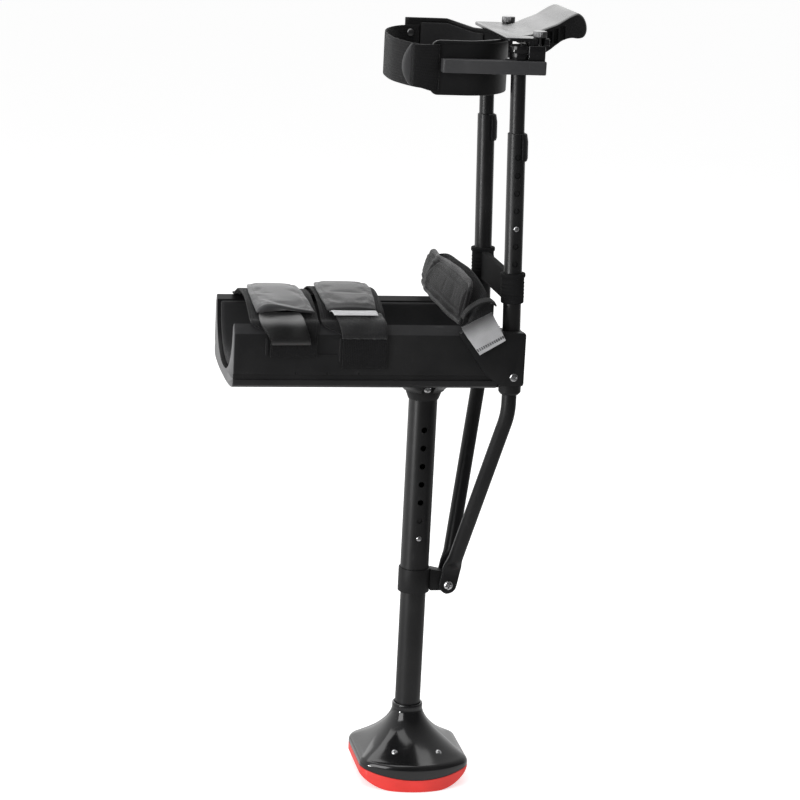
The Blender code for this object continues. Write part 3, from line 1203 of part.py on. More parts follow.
def band_route():
    """Plan of the elastic band: far end, round the rear, in through the near slot and folded back."""
    inside = CUFF_HALF - CUFF_RIM / 2.0 - CLEAR - BAND_THICK / 2.0
    outside = CUFF_HALF + CUFF_RIM / 2.0 + CLEAR + BAND_THICK / 2.0
    slot = (CUFF_SLOT_X[0] + CUFF_SLOT_X[1]) / 2.0
    points = [(CUFF_REAR + 15.0, inside), (CUFF_REAR - 2.0, inside)]
    points += [(CUFF_REAR + x, CUFF_HALF * share) for x, share in BAND_REACH]
    points += [(CUFF_REAR + 1.0, -inside), (slot - 1.6, -inside - 0.4), (slot, -CUFF_HALF)]
    points += [(slot - 1.6, -outside + 0.2), (CUFF_REAR - 1.0, -outside)]
    points += [(CUFF_REAR - BAND_FOLD, -outside - 1.0)]
    return points


def cuff_band():
    route = smooth_curve(band_route(), 3)
    total = sum((b - a).length for a, b in zip(route, route[1:]))
    loops = []
    gone = 0.0
    for i, point in enumerate(route):
        before = route[max(i - 1, 0)]
        after = route[min(i + 1, len(route) - 1)]
        along = (after - before).normalized()
        sideways = Vector((-along.y, along.x)) * BAND_THICK / 2.0
        share = gone / total
        middle = BAND_FAR_Z + (BAND_NEAR_Z - BAND_FAR_Z) * min(share * 1.35, 1.0)
        low = middle - BAND_HEIGHT / 2.0
        high = middle + BAND_HEIGHT / 2.0
        left = point + sideways
        right = point - sideways
        corners = ((left, low), (left, high), (right, high), (right, low))
        loops.append([Vector((spot.x, spot.y, z)) for spot, z in corners])
        gone += (after - point).length
    made = solid("cuff_band", loft(loops), "dark_webbing")
    cut(made, rod((RIVET_X, CUFF_HALF - 12.0, RIVET_Z), (RIVET_X, CUFF_HALF, RIVET_Z), RIVET_R + CLEAR, 14))


def band_rivet():
    """Rivet through the far wall of the cuff and the band's end."""
    inner = CUFF_HALF - CUFF_RIM / 2.0 - 2.0 * CLEAR - BAND_THICK
    outer = CUFF_HALF + CUFF_WALL / 2.0 + CLEAR
    profile = [(RIVET_R * 1.2, 0.0), (RIVET_R * 2.0, 0.7), (RIVET_R * 2.0, 1.4), (RIVET_R, 1.4),
               (RIVET_R, outer - inner + 1.4), (RIVET_R * 2.0, outer - inner + 1.4),
               (RIVET_R * 1.6, outer - inner + 2.4)]
    solid("band_rivet", turned(profile, (RIVET_X, inner - 1.4, RIVET_Z), (0, 1, 0), count=14), "bright_steel")


def strap_route(strap, clearance):
    """Section of an under-strap in Y and Z: down the near wall, over the rims, down the far wall."""
    bottom, crown = strap["bottom"], strap["crown"]
    out = TRAY_HALF + SLOT_BAR_PROUD + clearance + STRAP_THICK / 2.0
    over = TRAY_TOP + clearance + STRAP_THICK / 2.0
    half = [(out, bottom), (out, (bottom + TRAY_SHOULDER_Z) / 2.0), (out, TRAY_SHOULDER_Z - 3.0),
            (out - 1.5, TRAY_TOP - 5.5), (TRAY_RIM_HALF + 2.0, over + 0.3), (TRAY_RIM_HALF - 8.0, over + 1.8),
            (TRAY_RIM_HALF - 20.0, crown - 10.5), (TRAY_RIM_HALF - 44.0, crown - 3.5)]
    return [(-y, z) for y, z in half] + [(0.0, crown)] + [(y, z) for y, z in reversed(half)]


def strap_spans(strap, height):
    """Low and high X of an under-strap: narrower where it hangs than over the rims."""
    share = min(max((height - TRAY_SHOULDER_Z + 2.0) / STRAP_EASE, 0.0), 1.0)
    hang, top = strap["hang"], strap["top"]
    return [hang[k] + (top[k] - hang[k]) * share for k in (0, 1)]


def strip(route, spans, thickness, crown=0.0, shares=(0.0, 0.5, 1.0)):
    """A band whose route lies in Y and Z and whose width lies along X, with a slight crown across it."""
    loops = []
    for i, point in enumerate(route):
        before = route[max(i - 1, 0)]
        after = route[min(i + 1, len(route) - 1)]
        along = (after - before).normalized()
        normal = Vector((along.y, -along.x))
        if normal.y < 0.0 or (abs(normal.y) < 0.2 and normal.x * point.x < 0.0):
            normal = -normal
        low, high = spans[i]
        above = []
        below = []
        for share in shares:
            x = low + (high - low) * share
            lift = crown * (1.0 - (2.0 * share - 1.0) ** 2)
            up = point + normal * (thickness / 2.0 + lift)
            down = point - normal * thickness / 2.0
            above.append(Vector((x, up.x, up.y)))
            below.append(Vector((x, down.x, down.y)))
        loops.append(above + below[::-1])
    return loft(loops)


def calf_strap(name):
    strap = STRAPS[name]
    route = smooth_curve(strap_route(strap, CLEAR), 2)
    spans = [strap_spans(strap, point.y) for point in route]
    solid(f"calf_strap_{name}", strip(route, spans, STRAP_THICK), "dark_webbing")


def calf_pad(name):
    """Padded satin panel on an under-strap: crowned, narrower at its far end, its edges drawn in."""
    strap = STRAPS[name]
    gap = STRAP_THICK / 2.0 + CLEAR + PAD_THICK / 2.0 + 0.4
    whole = smooth_curve(strap_route(strap, CLEAR), 3)
    route = [p + Vector((0.0, gap)) for p in whole if abs(p.x) < PAD_LENGTH / 2.0 and p.y > TRAY_TOP]
    loops = []
    count = len(route)
    for i, point in enumerate(route):
        along = (route[min(i + 1, count - 1)] - route[max(i - 1, 0)]).normalized()
        normal = Vector((-along.y, along.x))
        if normal.y < 0.0:
            normal = -normal
        from_end = min(i, count - 1 - i)
        fill = (0.35, 0.75, 0.95)[from_end] if from_end < 3 else 1.0
        rear = strap["pad"][0] + PAD_TAPER * max(point.x, 0.0) / (PAD_LENGTH / 2.0)
        above = []
        below = []
        for share in (0.0, 0.04, 0.12, 0.16, 0.3, 0.5, 0.7, 0.84, 0.88, 0.96, 1.0):
            x = rear + (strap["pad"][1] - rear) * share
            edge = min(share, 1.0 - share)
            swell = 0.3 if edge < 0.01 else 1.0
            seam = 0.8 if 0.1 < edge < 0.14 else 0.0
            lift = PAD_CROWN * (1.0 - (2.0 * share - 1.0) ** 2) * fill
            up = point + normal * ((PAD_THICK / 2.0) * fill * swell + lift - seam * fill)
            down = point - normal * (PAD_THICK / 2.0) * fill * swell
            above.append(Vector((x, up.x, up.y)))
            below.append(Vector((x, down.x, down.y)))
        loops.append(above + below[::-1])
    solid(f"calf_pad_{name}", loft(loops), "grey_satin")


def band_edges(rows):
    """The two smooth edge lines of the knee band from its rows."""
    low = smooth_curve([(x, BRACKET_OUT * share, TRAY_TOP + z) for share, x, z, _, _ in rows], 2)
    high = smooth_curve([(x, BRACKET_OUT * share, TRAY_TOP + z) for share, _, _, x, z in rows], 2)
    return low, high


def knee_pad():
    """Quilted band that stands across the tray behind the knee, leaning forward."""
    low_edge, high_edge = band_edges(KNEE_PAD_ROWS)
    count = len(low_edge)
    loops = []
    for i in range(count):
        low, high = Vector(low_edge[i]), Vector(high_edge[i])
        rise = (high - low).normalized()
        along = (Vector(low_edge[min(i + 1, count - 1)]) - Vector(low_edge[max(i - 1, 0)])).normalized()
        normal = rise.cross(along).normalized()
        if normal.x > 0.0:
            normal = -normal
        from_end = min(i, count - 1 - i)
        fill = (0.4, 0.8, 0.95)[from_end] if from_end < 3 else 1.0
        back, front = [], []
        for share in (0.0, 0.06, 0.16, 0.2, 0.24, 0.42, 0.6, 0.76, 0.8, 0.84, 0.94, 1.0):
            edge = min(share, 1.0 - share)
            swell = 0.35 if edge < 0.01 else 1.0
            seam = KNEE_PAD_GROOVE if 0.18 < edge < 0.22 else 0.0
            spot = low.lerp(high, share)
            half = KNEE_PAD_THICK / 2.0 * fill * swell
            back.append(spot + normal * (half - seam * fill))
            front.append(spot - normal * half)
        loops.append(back + front[::-1])
    solid("knee_pad", loft(loops), "quilted_fabric")


def knee_strap():
    """Webbing in front of the knee pad; its near end curls over the bracket and hangs outside it."""
    low_edge, high_edge = band_edges(KNEE_STRAP_ROWS)
    count = len(low_edge)
    loops = []
    for i in range(count):
        low, high = Vector(low_edge[i]), Vector(high_edge[i])
        middle_now = (low + high) / 2.0
        ahead = (Vector(low_edge[min(i + 1, count - 1)]) + Vector(high_edge[min(i + 1, count - 1)])) / 2.0
        behind = (Vector(low_edge[max(i - 1, 0)]) + Vector(high_edge[max(i - 1, 0)])) / 2.0
        rise = (high - low).normalized()
        normal = rise.cross((ahead - behind).normalized()).normalized() * KNEE_STRAP_THICK / 2.0
        loops.append([low + normal, middle_now + normal, high + normal, high - normal, middle_now - normal,
                      low - normal])
    solid("knee_strap", loft(loops), "dark_webbing")


def main():
    for old in list(bpy.data.objects):
        bpy.data.objects.remove(old)
    foot_sole()
    foot_cover()
    foot_core()
    foot_screws()
    leg_tubes()
    snap_button("leg_button", (0, 0, LEG_BUTTON_Z), (0, -1, 0), LEG_R, LOWER_TUBE_R - LEG_WALL)
    leaf_spring("leg_spring_clip", (0, 0, LEG_BUTTON_Z), (0, 0, 1), (0, -1, 0), LOWER_TUBE_R - LEG_WALL)
    leg_collar()
    flat_out = LUG_HALF_WIDTH + STRUT_FLAT + 2.0 * CLEAR
    bolt_along_y("strut_bolt", STRUT_BOLT_X, STRUT_BOLT_Z, STRUT_BOLT_R, -flat_out - BOLT_HEAD,
                 flat_out + STRUT_BOLT_PAST,
                 BOLT_HEAD_R, BOLT_HEAD)
    nut_along_y("strut_nut", STRUT_BOLT_X, STRUT_BOLT_Z, STRUT_BOLT_R + CLEAR, flat_out, STRUT_NUT,
                BOLT_HEAD_R)
    leg_socket()
    socket_out = SOCKET_D / 2.0 + CLEAR
    bolt_along_y("socket_bolt", 0.0, SOCKET_BOLT_Z, SOCKET_BOLT_R, -socket_out - SOCKET_BOLT_HEAD,
                 socket_out + SOCKET_BOLT_PAST, SOCKET_BOLT_HEAD_R, SOCKET_BOLT_HEAD)
    nut_along_y("socket_nut", 0.0, SOCKET_BOLT_Z, SOCKET_BOLT_R + CLEAR, socket_out, SOCKET_NUT, SOCKET_NUT_R)
    tray_shell()
    tray_liner()
    crossbar()
    handle()
    cuff_shell()
    cuff_band()
    band_rivet()
    for name in STRAPS:
        calf_strap(name)
        calf_pad(name)
    knee_pad()
    knee_strap()
    for side in (-1, 1):
        strut(side)
        knee_bracket(side)
        knee_screw(side)
        post(side)
        post_clip(side)
        thigh_bracket(side)
        knob(side)
        cuff_pad(side)


main()
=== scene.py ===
"""Looks of the hands-free crutch: finer surfaces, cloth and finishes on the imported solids."""

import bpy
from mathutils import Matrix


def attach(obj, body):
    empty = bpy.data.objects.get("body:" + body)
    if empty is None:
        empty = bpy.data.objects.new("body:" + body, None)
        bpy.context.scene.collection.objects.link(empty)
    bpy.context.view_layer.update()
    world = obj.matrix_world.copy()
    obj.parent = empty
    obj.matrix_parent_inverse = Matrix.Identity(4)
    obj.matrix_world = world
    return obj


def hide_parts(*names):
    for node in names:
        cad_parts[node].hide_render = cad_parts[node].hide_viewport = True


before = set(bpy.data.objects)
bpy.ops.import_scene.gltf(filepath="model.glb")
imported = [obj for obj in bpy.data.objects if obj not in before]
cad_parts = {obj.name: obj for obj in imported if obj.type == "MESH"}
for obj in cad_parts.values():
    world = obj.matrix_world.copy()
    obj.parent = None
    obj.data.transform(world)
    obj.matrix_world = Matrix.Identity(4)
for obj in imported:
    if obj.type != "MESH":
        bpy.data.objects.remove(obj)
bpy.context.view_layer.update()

import math

import bmesh
import bpy
import numpy as np
from bpy.props import FloatProperty, FloatVectorProperty, IntProperty, PointerProperty
from mathutils import Matrix, Vector

bl_info = {
    "name": "Hands-free crutch",
    "version": (1, 0, 0),
    "blender": (4, 5, 0),
    "location": "View3D > Sidebar > Crutch",
    "description": "Detailed surfaces, cloth and finishes for the hands-free crutch",
    "category": "Object",
}

MM = 0.001
GAP = 0.3

# The CAD's own places, in millimetres, repeated where a finer surface needs them
FOOT_X = 3.0
FOOT_HALF = 61.0
FOOT_END = 43.0
FOOT_MID = 69.0
FOOT_CORNER = 7.0
COVER_RIM = 28.0
COVER_NECK = 76.0
NECK_R = 17.0
LEG_R = 15.75
LEG_BORE = 14.35
LOWER_R = 14.05
LOWER_BORE = 12.65
LEG_BUTTON = 276.0
LEG_PITCH = 20.5
POST_Y = 74.0
POST_R = 9.525
POST_BORE = 8.325
THIGH_R = 7.95
THIGH_BORE = 6.75
POST_BUTTON = 634.0
POST_PITCH = 18.8
HOLE_R = 3.25
TRAY_REAR = -220.0
TRAY_FRONT = 84.0
TRAY_HALF = 82.0
TRAY_TOP = 529.0
TRAY_BELLY = 455.0
SHOULDER = 519.0
KNOB_X = 88.0
SIDES = (("near", -1.0), ("far", 1.0))


# Shapes worked out on grids


def lerp(a, b, t):
    """The point at share t of the way from a to b."""
    return a + (b - a) * t


def unit(vectors):
    """Vectors over their own lengths."""
    vectors = np.asarray(vectors, float)
    length = np.linalg.norm(vectors, axis=-1, keepdims=True)
    return vectors / np.maximum(length, 1e-9)


def smooth_step(value, low, high):
    """0 below low, 1 above high, and the cubic 3t^2 - 2t^3 between them."""
    t = np.clip((np.asarray(value, float) - low) / (high - low), 0.0, 1.0)
    return t * t * (3.0 - 2.0 * t)


def spline(points, count):
    """A Catmull-Rom curve: each point is a cubic blend of its four nearest controls, at even steps."""
    points = np.asarray(points, float)
    ends = np.vstack([2.0 * points[0] - points[1], points, 2.0 * points[-1] - points[-2]])
    at = np.linspace(0.0, len(points) - 1.0, count)
    span = np.minimum(at.astype(int), len(points) - 2)
    t = (at - span)[:, None]
    a, b, c, d = (ends[span + k] for k in range(4))
    return 0.5 * (2.0 * b + (c - a) * t + (2.0 * a - 5.0 * b + 4.0 * c - d) * t ** 2
                  + (3.0 * b - a - 3.0 * c + d) * t ** 3)


def even(points, count, closed=False):
    """A line's points spread again at equal lengths along it."""
    points = np.asarray(points, float)
    if closed:
        points = np.vstack([points, points[:1]])
    length = np.r_[0.0, np.cumsum(np.linalg.norm(np.diff(points, axis=0), axis=1))]
    at = np.linspace(0.0, length[-1], count + 1)[:-1] if closed else np.linspace(0.0, length[-1], count)
    return np.stack([np.interp(at, length, points[:, k]) for k in range(points.shape[1])], axis=1)


def circle(count, start=0.0):
    """Even angles round a full turn, from a share of a step."""
    return 2.0 * np.pi * (np.arange(count) + start) / count


def quarter(count):
    """Even angles from 0 to a quarter turn."""
    return np.linspace(0.0, np.pi / 2.0, count)


def quadratic(start, corner, end, t):
    """A curve that leaves its start and reaches its end along the lines to a corner."""
    return start * (1.0 - t) ** 2 + corner * 2.0 * t * (1.0 - t) + end * t ** 2


def softened(points, radius, steps=4, closed=True):
    """A line with each corner turned by a quadratic curve that starts and ends a radius from it."""
    points = np.asarray(points, float)
    before = np.roll(points, 1, axis=0)
    after = np.roll(points, -1, axis=0)
    reach_in = np.minimum(radius, np.linalg.norm(before - points, axis=1) * 0.49)[:, None]
    reach_out = np.minimum(radius, np.linalg.norm(after - points, axis=1) * 0.49)[:, None]
    start = points + unit(before - points) * reach_in
    end = points + unit(after - points) * reach_out
    t = np.linspace(0.0, 1.0, steps + 1)[None, :, None]
    curve = quadratic(start[:, None], points[:, None], end[:, None], t)
    if closed:
        return curve.reshape(-1, points.shape[1])
    return np.vstack([points[:1], curve[1:-1].reshape(-1, points.shape[1]), points[-1:]])


def offset_outline(outline, distance):
    """A closed outline moved sideways along its own normals by a distance."""
    along = unit(np.roll(outline, -1, axis=0) - np.roll(outline, 1, axis=0))
    area = np.sum(outline[:, 0] * np.roll(outline[:, 1], -1) - outline[:, 1] * np.roll(outline[:, 0], -1))
    normal = np.stack([along[:, 1], -along[:, 0]], axis=1) * np.sign(area)
    return outline + normal * distance


def spokes(direction, count):
    """Unit vectors square to a direction, at even angles round it; the first lies as near +X as it can."""
    along = unit(direction)
    guide = np.array((1.0, 0.0, 0.0)) if abs(along[0]) < 0.9 else np.array((0.0, 0.0, 1.0))
    first = unit(guide - along * guide.dot(along))
    angle = circle(count)[:, None]
    return np.cos(angle) * first + np.sin(angle) * np.cross(along, first)


def skin(name, grid, around=True, along=False, capped=False, corner=32.0):
    """A mesh through a grid of points in millimetres, with its UV map in metres of real length.

    Each point joins its neighbours in the next row and column; the columns close round where around is
    true, the rows where along is true, and the end rows close with one face each where capped is true.
    """
    grid = np.asarray(grid, float)
    rows, columns = grid.shape[:2]
    index = np.arange(rows * columns).reshape(rows, columns)
    i, j = np.meshgrid(np.arange(rows if along else rows - 1), np.arange(columns if around else columns - 1),
                       indexing="ij")
    i2, j2 = (i + 1) % rows, (j + 1) % columns
    quads = np.stack([index[i, j], index[i, j2], index[i2, j2], index[i2, j]], axis=-1).reshape(-1, 4)
    points = grid.reshape(-1, 3)
    faces = quads.tolist()
    if capped:
        faces += [index[0][::-1].tolist(), index[-1].tolist()]
    closed_rows = np.concatenate([grid, grid[:1]], axis=0)
    closed_columns = np.concatenate([grid, grid[:, :1]], axis=1)
    u = np.r_[0.0, np.cumsum(np.linalg.norm(np.diff(closed_rows, axis=0), axis=2).mean(axis=1))]
    v = np.r_[0.0, np.cumsum(np.linalg.norm(np.diff(closed_columns, axis=1), axis=2).mean(axis=0))]
    uv = np.stack([np.stack([u[i], v[j]], -1), np.stack([u[i], v[j + 1]], -1),
                   np.stack([u[i + 1], v[j + 1]], -1), np.stack([u[i + 1], v[j]], -1)], axis=2).reshape(-1, 2)
    if capped:
        uv = np.vstack([uv, np.stack([np.full(columns, u[0]), v[:columns]], 1),
                        np.stack([np.full(columns, u[rows - 1]), v[:columns]], 1)])
    mesh = bpy.data.meshes.new(name)
    mesh.from_pydata((points * MM).tolist(), [], faces)
    layer = mesh.uv_layers.new(name="UVMap")
    layer.data.foreach_set("uv", (uv * MM).ravel())
    if around and (capped or along):
        p = points[quads]
        volume = np.einsum("ij,ij->i", p[:, 0], np.cross(p[:, 1], p[:, 2]) + np.cross(p[:, 2], p[:, 3])).sum()
        if capped:
            for row, sign in ((grid[0], -1.0), (grid[-1], 1.0)):
                volume += sign * np.einsum("ij,ij->i", np.cross(row - row[0], np.roll(row, -1, 0) - row[0]),
                                           np.broadcast_to(row[0], row.shape)).sum()
        if volume < 0.0:
            mesh.flip_normals()
    finish_mesh(mesh, corner)
    return object_of(name, mesh)


def finish_mesh(mesh, corner):
    """Smooth faces, with a hard edge wherever two of them meet by more than the corner angle."""
    mesh.validate()
    mesh.shade_smooth()
    mesh.set_sharp_from_angle(angle=math.radians(corner))


def object_of(name, mesh):
    """A new object in the scene that shows a mesh."""
    made = bpy.data.objects.new(name, mesh)
    bpy.context.scene.collection.objects.link(made)
    return made


def turned(name, profile, start, direction, count=64, hollow=False, corner=32.0):
    """A turned surface: each profile point (radius, distance) is carried round the axis in even steps."""
    profile = np.asarray(profile, float)
    middle = np.asarray(start, float) + profile[:, 1:2] * unit(direction)
    grid = middle[:, None, :] + profile[:, 0][:, None, None] * spokes(direction, count)[None]
    return skin(name, grid, along=hollow, capped=not hollow, corner=corner)


def slab(name, outline, low, high, plane="xz", edge=0.8, corner=32.0):
    """An outline carried from low to high on the third axis, its two edges rolled by quarter circles."""
    outline = np.asarray(outline, float)
    roll = [(edge * (1.0 - math.cos(a)), -edge * (1.0 - math.sin(a))) for a in quarter(4)]
    levels = [(low + into, inset) for into, inset in roll]
    levels += [(high - into, inset) for into, inset in roll[::-1]]
    rows = []
    for level, inset in levels:
        flat = offset_outline(outline, inset)
        third = np.full(len(flat), level)
        rows.append(np.insert(flat, {"yz": 0, "xz": 1, "xy": 2}[plane], third, axis=1))
    return skin(name, rows, capped=True, corner=corner)


def box_outline(low, high, radius=1.5):
    """A rectangle between two corners, with rounded ones."""
    return softened([(low[0], low[1]), (high[0], low[1]), (high[0], high[1]), (low[0], high[1])], radius)


def boolean(target, tools, operation="DIFFERENCE", corner=32.0):
    """Joins or cuts the target by other meshes, worked out now and kept as plain faces."""
    for tool in tools:
        modifier = target.modifiers.new("cut", "BOOLEAN")
        modifier.operation = operation
        modifier.solver = "EXACT"
        modifier.object = tool
    settle(target, corner)
    for tool in tools:
        discard(tool)
    return target


def settle(target, corner=32.0):
    """The target's mesh with its modifiers worked out."""
    bpy.context.view_layer.update()
    worked = target.evaluated_get(bpy.context.evaluated_depsgraph_get())
    mesh = bpy.data.meshes.new_from_object(worked)
    old = target.data
    target.modifiers.clear()
    target.data = mesh
    bpy.data.meshes.remove(old)
    if corner is not None:
        finish_mesh(mesh, corner)


def discard(target):
    """Removes an object with its mesh."""
    mesh = target.data
    bpy.data.objects.remove(target)
    bpy.data.meshes.remove(mesh)


def drill(start, end, radius, count=32):
    """A plain rod to cut a hole with."""
    span = np.asarray(end, float) - np.asarray(start, float)
    return turned("drill", [(radius, 0.0), (radius, np.linalg.norm(span))], start, span, count)


def cutter_box(low, high):
    """A plain box to cut with."""
    return slab("cutter", [(low[0], low[2]), (high[0], low[2]), (high[0], high[2]), (low[0], high[2])],
                low[1], high[1], edge=0.001)


def side_span(side, inner, outer):
    """The Y range between two distances from the middle plane, on one side."""
    return sorted((side * inner, side * outer))


def side_boxes(x, y, z):
    """Boxes to cut with on both sides: X range, distances in Y from the middle plane, Z range."""
    spans = [side_span(side, *y) for side in (-1.0, 1.0)]
    return [cutter_box((x[0], near, z[0]), (x[1], far, z[1])) for near, far in spans]


def side_slab(name, side, x, y, z, radius, edge):
    """An upright rounded block on one side: X range, distances in Y from the middle plane, Z range."""
    near, far = side_span(side, *y)
    return slab(name, box_outline((x[0], near), (x[1], far), radius), z[0], z[1], "xy", edge)


def post_at(z, side):
    """A point of a post's axis at a height."""
    return np.array((73.4 - 0.0319 * (z - 608.0), side * POST_Y, z))


POST_UP = unit((-0.0319, 0.0, 1.0))


# Finishes


class Signal:
    """A node's output as a number to reckon with: every operation on it adds one Math node."""

    def __init__(self, made, output=0):
        self.tree = made.id_data
        self.socket = made.outputs[output]

    def math(self, operation, *others):
        return calc(self.tree, operation, self, *others)

    def clamped(self):
        """The same number, kept between 0 and 1 by its own Math node."""
        self.socket.node.use_clamp = True
        return self

    def __add__(self, other):
        return self.math("ADD", other)

    def __sub__(self, other):
        return self.math("SUBTRACT", other)

    def __rsub__(self, other):
        return calc(self.tree, "SUBTRACT", other, self)

    def __mul__(self, other):
        return self.math("MULTIPLY", other)

    def __truediv__(self, other):
        return self.math("DIVIDE", other)

    def __rtruediv__(self, other):
        return calc(self.tree, "DIVIDE", other, self)


def set_inputs(made, inputs):
    """Sets a node's sockets, by name or number, to plain values or joins them to Signals."""
    for key, value in inputs.items():
        if isinstance(value, Signal):
            made.id_data.links.new(value.socket, made.inputs[key])
        else:
            made.inputs[key].default_value = value


def node(tree, kind, inputs=None, **settings):
    """A shader node with its settings, and its sockets set or joined by name or number."""
    made = tree.nodes.new(kind)
    for key, value in settings.items():
        setattr(made, key, value)
    set_inputs(made, inputs or {})
    return made


def calc(tree, operation, *values):
    """A Math node's result."""
    return Signal(node(tree, "ShaderNodeMath", dict(enumerate(values)), operation=operation))


def noise(place, scale, detail):
    """Noise over a place, at a scale in waves per metre."""
    inputs = {"Vector": place, "Scale": scale, "Detail": detail}
    return Signal(node(place.tree, "ShaderNodeTexNoise", inputs), "Fac")


def blend_colour(share, low, high):
    """A colour between two, by share."""
    ends = {key: end if isinstance(end, Signal) else (*end, 1.0) for key, end in ((6, low), (7, high))}
    return Signal(node(share.tree, "ShaderNodeMix", {0: share, **ends}, data_type="RGBA"), 2)


def scaled(colour, factor, added=0.0, most=math.inf):
    """A colour times a factor plus a little white, with no channel above a limit."""
    return tuple(min(c * factor + added, most) for c in colour)


def shader_group(name, numbers, outputs):
    """A node group of a Vector and named numbers: its inputs as Signals, and its output node."""
    group = bpy.data.node_groups.new(name, "ShaderNodeTree")
    group.interface.new_socket(name="Vector", in_out="INPUT", socket_type="NodeSocketVector")
    for label, default in numbers.items():
        socket = group.interface.new_socket(name=label, in_out="INPUT", socket_type="NodeSocketFloat")
        socket.default_value = default
    for label in outputs:
        group.interface.new_socket(name=label, in_out="OUTPUT", socket_type="NodeSocketFloat")
    given = group.nodes.new("NodeGroupInput")
    return [Signal(given, k) for k in range(len(numbers) + 1)], group.nodes.new("NodeGroupOutput")


def moulded_grain_group():
    """Spark-eroded grain of moulded plastic: small smooth cells over a slow unevenness."""
    (place, cell), result = shader_group("moulded grain", {"Cell": 0.0009}, ("Height", "Patch"))
    scale = 1.0 / cell
    cells = node(place.tree, "ShaderNodeTexVoronoi", {"Vector": place, "Scale": scale}, feature="SMOOTH_F1")
    height = Signal(cells, "Distance") + noise(place, scale * 0.6, 3.0) * 0.8
    set_inputs(result, {"Height": height, "Patch": noise(place, 24.0, 4.0)})


def handling_group():
    """Marks of use: sparse hair scratches in two directions, and dust that lies in soft patches."""
    (place, scratches, dust), result = shader_group("handling marks", {"Scratches": 0.5, "Dust": 0.5},
                                                    ("Scratch", "Dust"))
    lines = []
    for turn, stretch in (((0.3, 0.2, 0.9), (900.0, 26.0, 60.0)), ((1.1, 0.7, 0.1), (40.0, 700.0, 34.0))):
        mapped = node(place.tree, "ShaderNodeMapping", {"Vector": place, "Rotation": turn, "Scale": stretch})
        lines.append(((noise(Signal(mapped), 1.0, 1.0) - 0.69) * 9.0).clamped())
    patches = ((noise(place, 18.0, 6.0) - 0.42) * 2.2).clamped()
    set_inputs(result, {"Scratch": lines[0].math("MAXIMUM", lines[1]) * scratches,
                        "Dust": patches * noise(place, 900.0, 2.0) * dust})


def weave_group():
    """Plain weave on a UV map in metres: warp and weft ride over each other in a chequer of threads.

    The warp's height is |sin(pi u / pitch)| where the chequer is on, and the weft takes its turn in the
    other squares; half of their product is added everywhere, which rounds the crossings.
    """
    (place, pitch, stretch), result = shader_group("weave", {"Pitch": 0.0008, "Stretch": 1.0},
                                                   ("Height", "Warp", "Fuzz"))
    split = node(place.tree, "ShaderNodeSeparateXYZ", {0: place})
    drift = (noise(place, 160.0, 2.0) - 0.5) * 0.5
    u = Signal(split, 0) / pitch + drift
    v = Signal(split, 1) / pitch / stretch + drift
    ridge_u, ridge_v = [(at * math.pi).math("SINE").math("ABSOLUTE") for at in (u, v)]
    chequer = (u.math("FLOOR") + v.math("FLOOR")).math("FLOORED_MODULO", 2.0)
    height = chequer * ridge_u + (1.0 - chequer) * ridge_v + ridge_u * ridge_v * 0.5
    set_inputs(result, {"Height": height, "Warp": chequer, "Fuzz": noise(place, 2600.0, 3.0)})


def grouped(tree, group, inputs):
    """A node of a group with its inputs set, as its outputs by name."""
    made = node(tree, "ShaderNodeGroup", inputs, node_tree=bpy.data.node_groups[group])
    return {socket.name: Signal(made, socket.name) for socket in made.outputs}


def new_material(name):
    """A material, its node tree, its Principled shader and its texture coordinates."""
    made = bpy.data.materials.new(name)
    made.use_nodes = True
    tree = made.node_tree
    return made, tree, tree.nodes["Principled BSDF"], node(tree, "ShaderNodeTexCoord")


def dress_shader(shader, height, relief, inputs):
    """Sets a Principled shader's inputs, and raises its surface by a height times the relief."""
    bump = node(height.tree, "ShaderNodeBump", {"Height": height, "Strength": 1.0, "Distance": relief * MM})
    set_inputs(shader, {"Normal": Signal(bump), **inputs})


def hard_material(name, colour, roughness, spread, cell, relief, specular, scratches, dust, metallic=0.0,
                  coat=0.0, dust_colour=(0.16, 0.155, 0.15)):
    """Painted, moulded or plated finish: grain relief, uneven roughness, hair scratches and a little dust."""
    _, tree, shader, coords = new_material(name)
    place = Signal(coords, "Object")
    grain = grouped(tree, "moulded grain", {"Vector": place, "Cell": cell * MM})
    marks = grouped(tree, "handling marks", {"Vector": place, "Scratches": scratches, "Dust": dust})
    scratch = marks["Scratch"]
    base = blend_colour(grain["Patch"], scaled(colour, 0.8), scaled(colour, 1.25))
    base = blend_colour(marks["Dust"] * 0.35, base, dust_colour)
    base = blend_colour(scratch * 0.18, base, scaled(colour, 3.0, 0.05, 1.0))
    rough = grain["Patch"] * spread + (roughness - spread / 2.0) + marks["Dust"] * 0.25 + scratch * 0.15
    dress_shader(shader, grain["Height"] - scratch * 0.6, relief, {
        "Base Color": base, "Roughness": rough.clamped(), "Metallic": metallic, "Specular IOR Level": specular,
        "Coat Weight": coat, "Coat Roughness": 0.12})


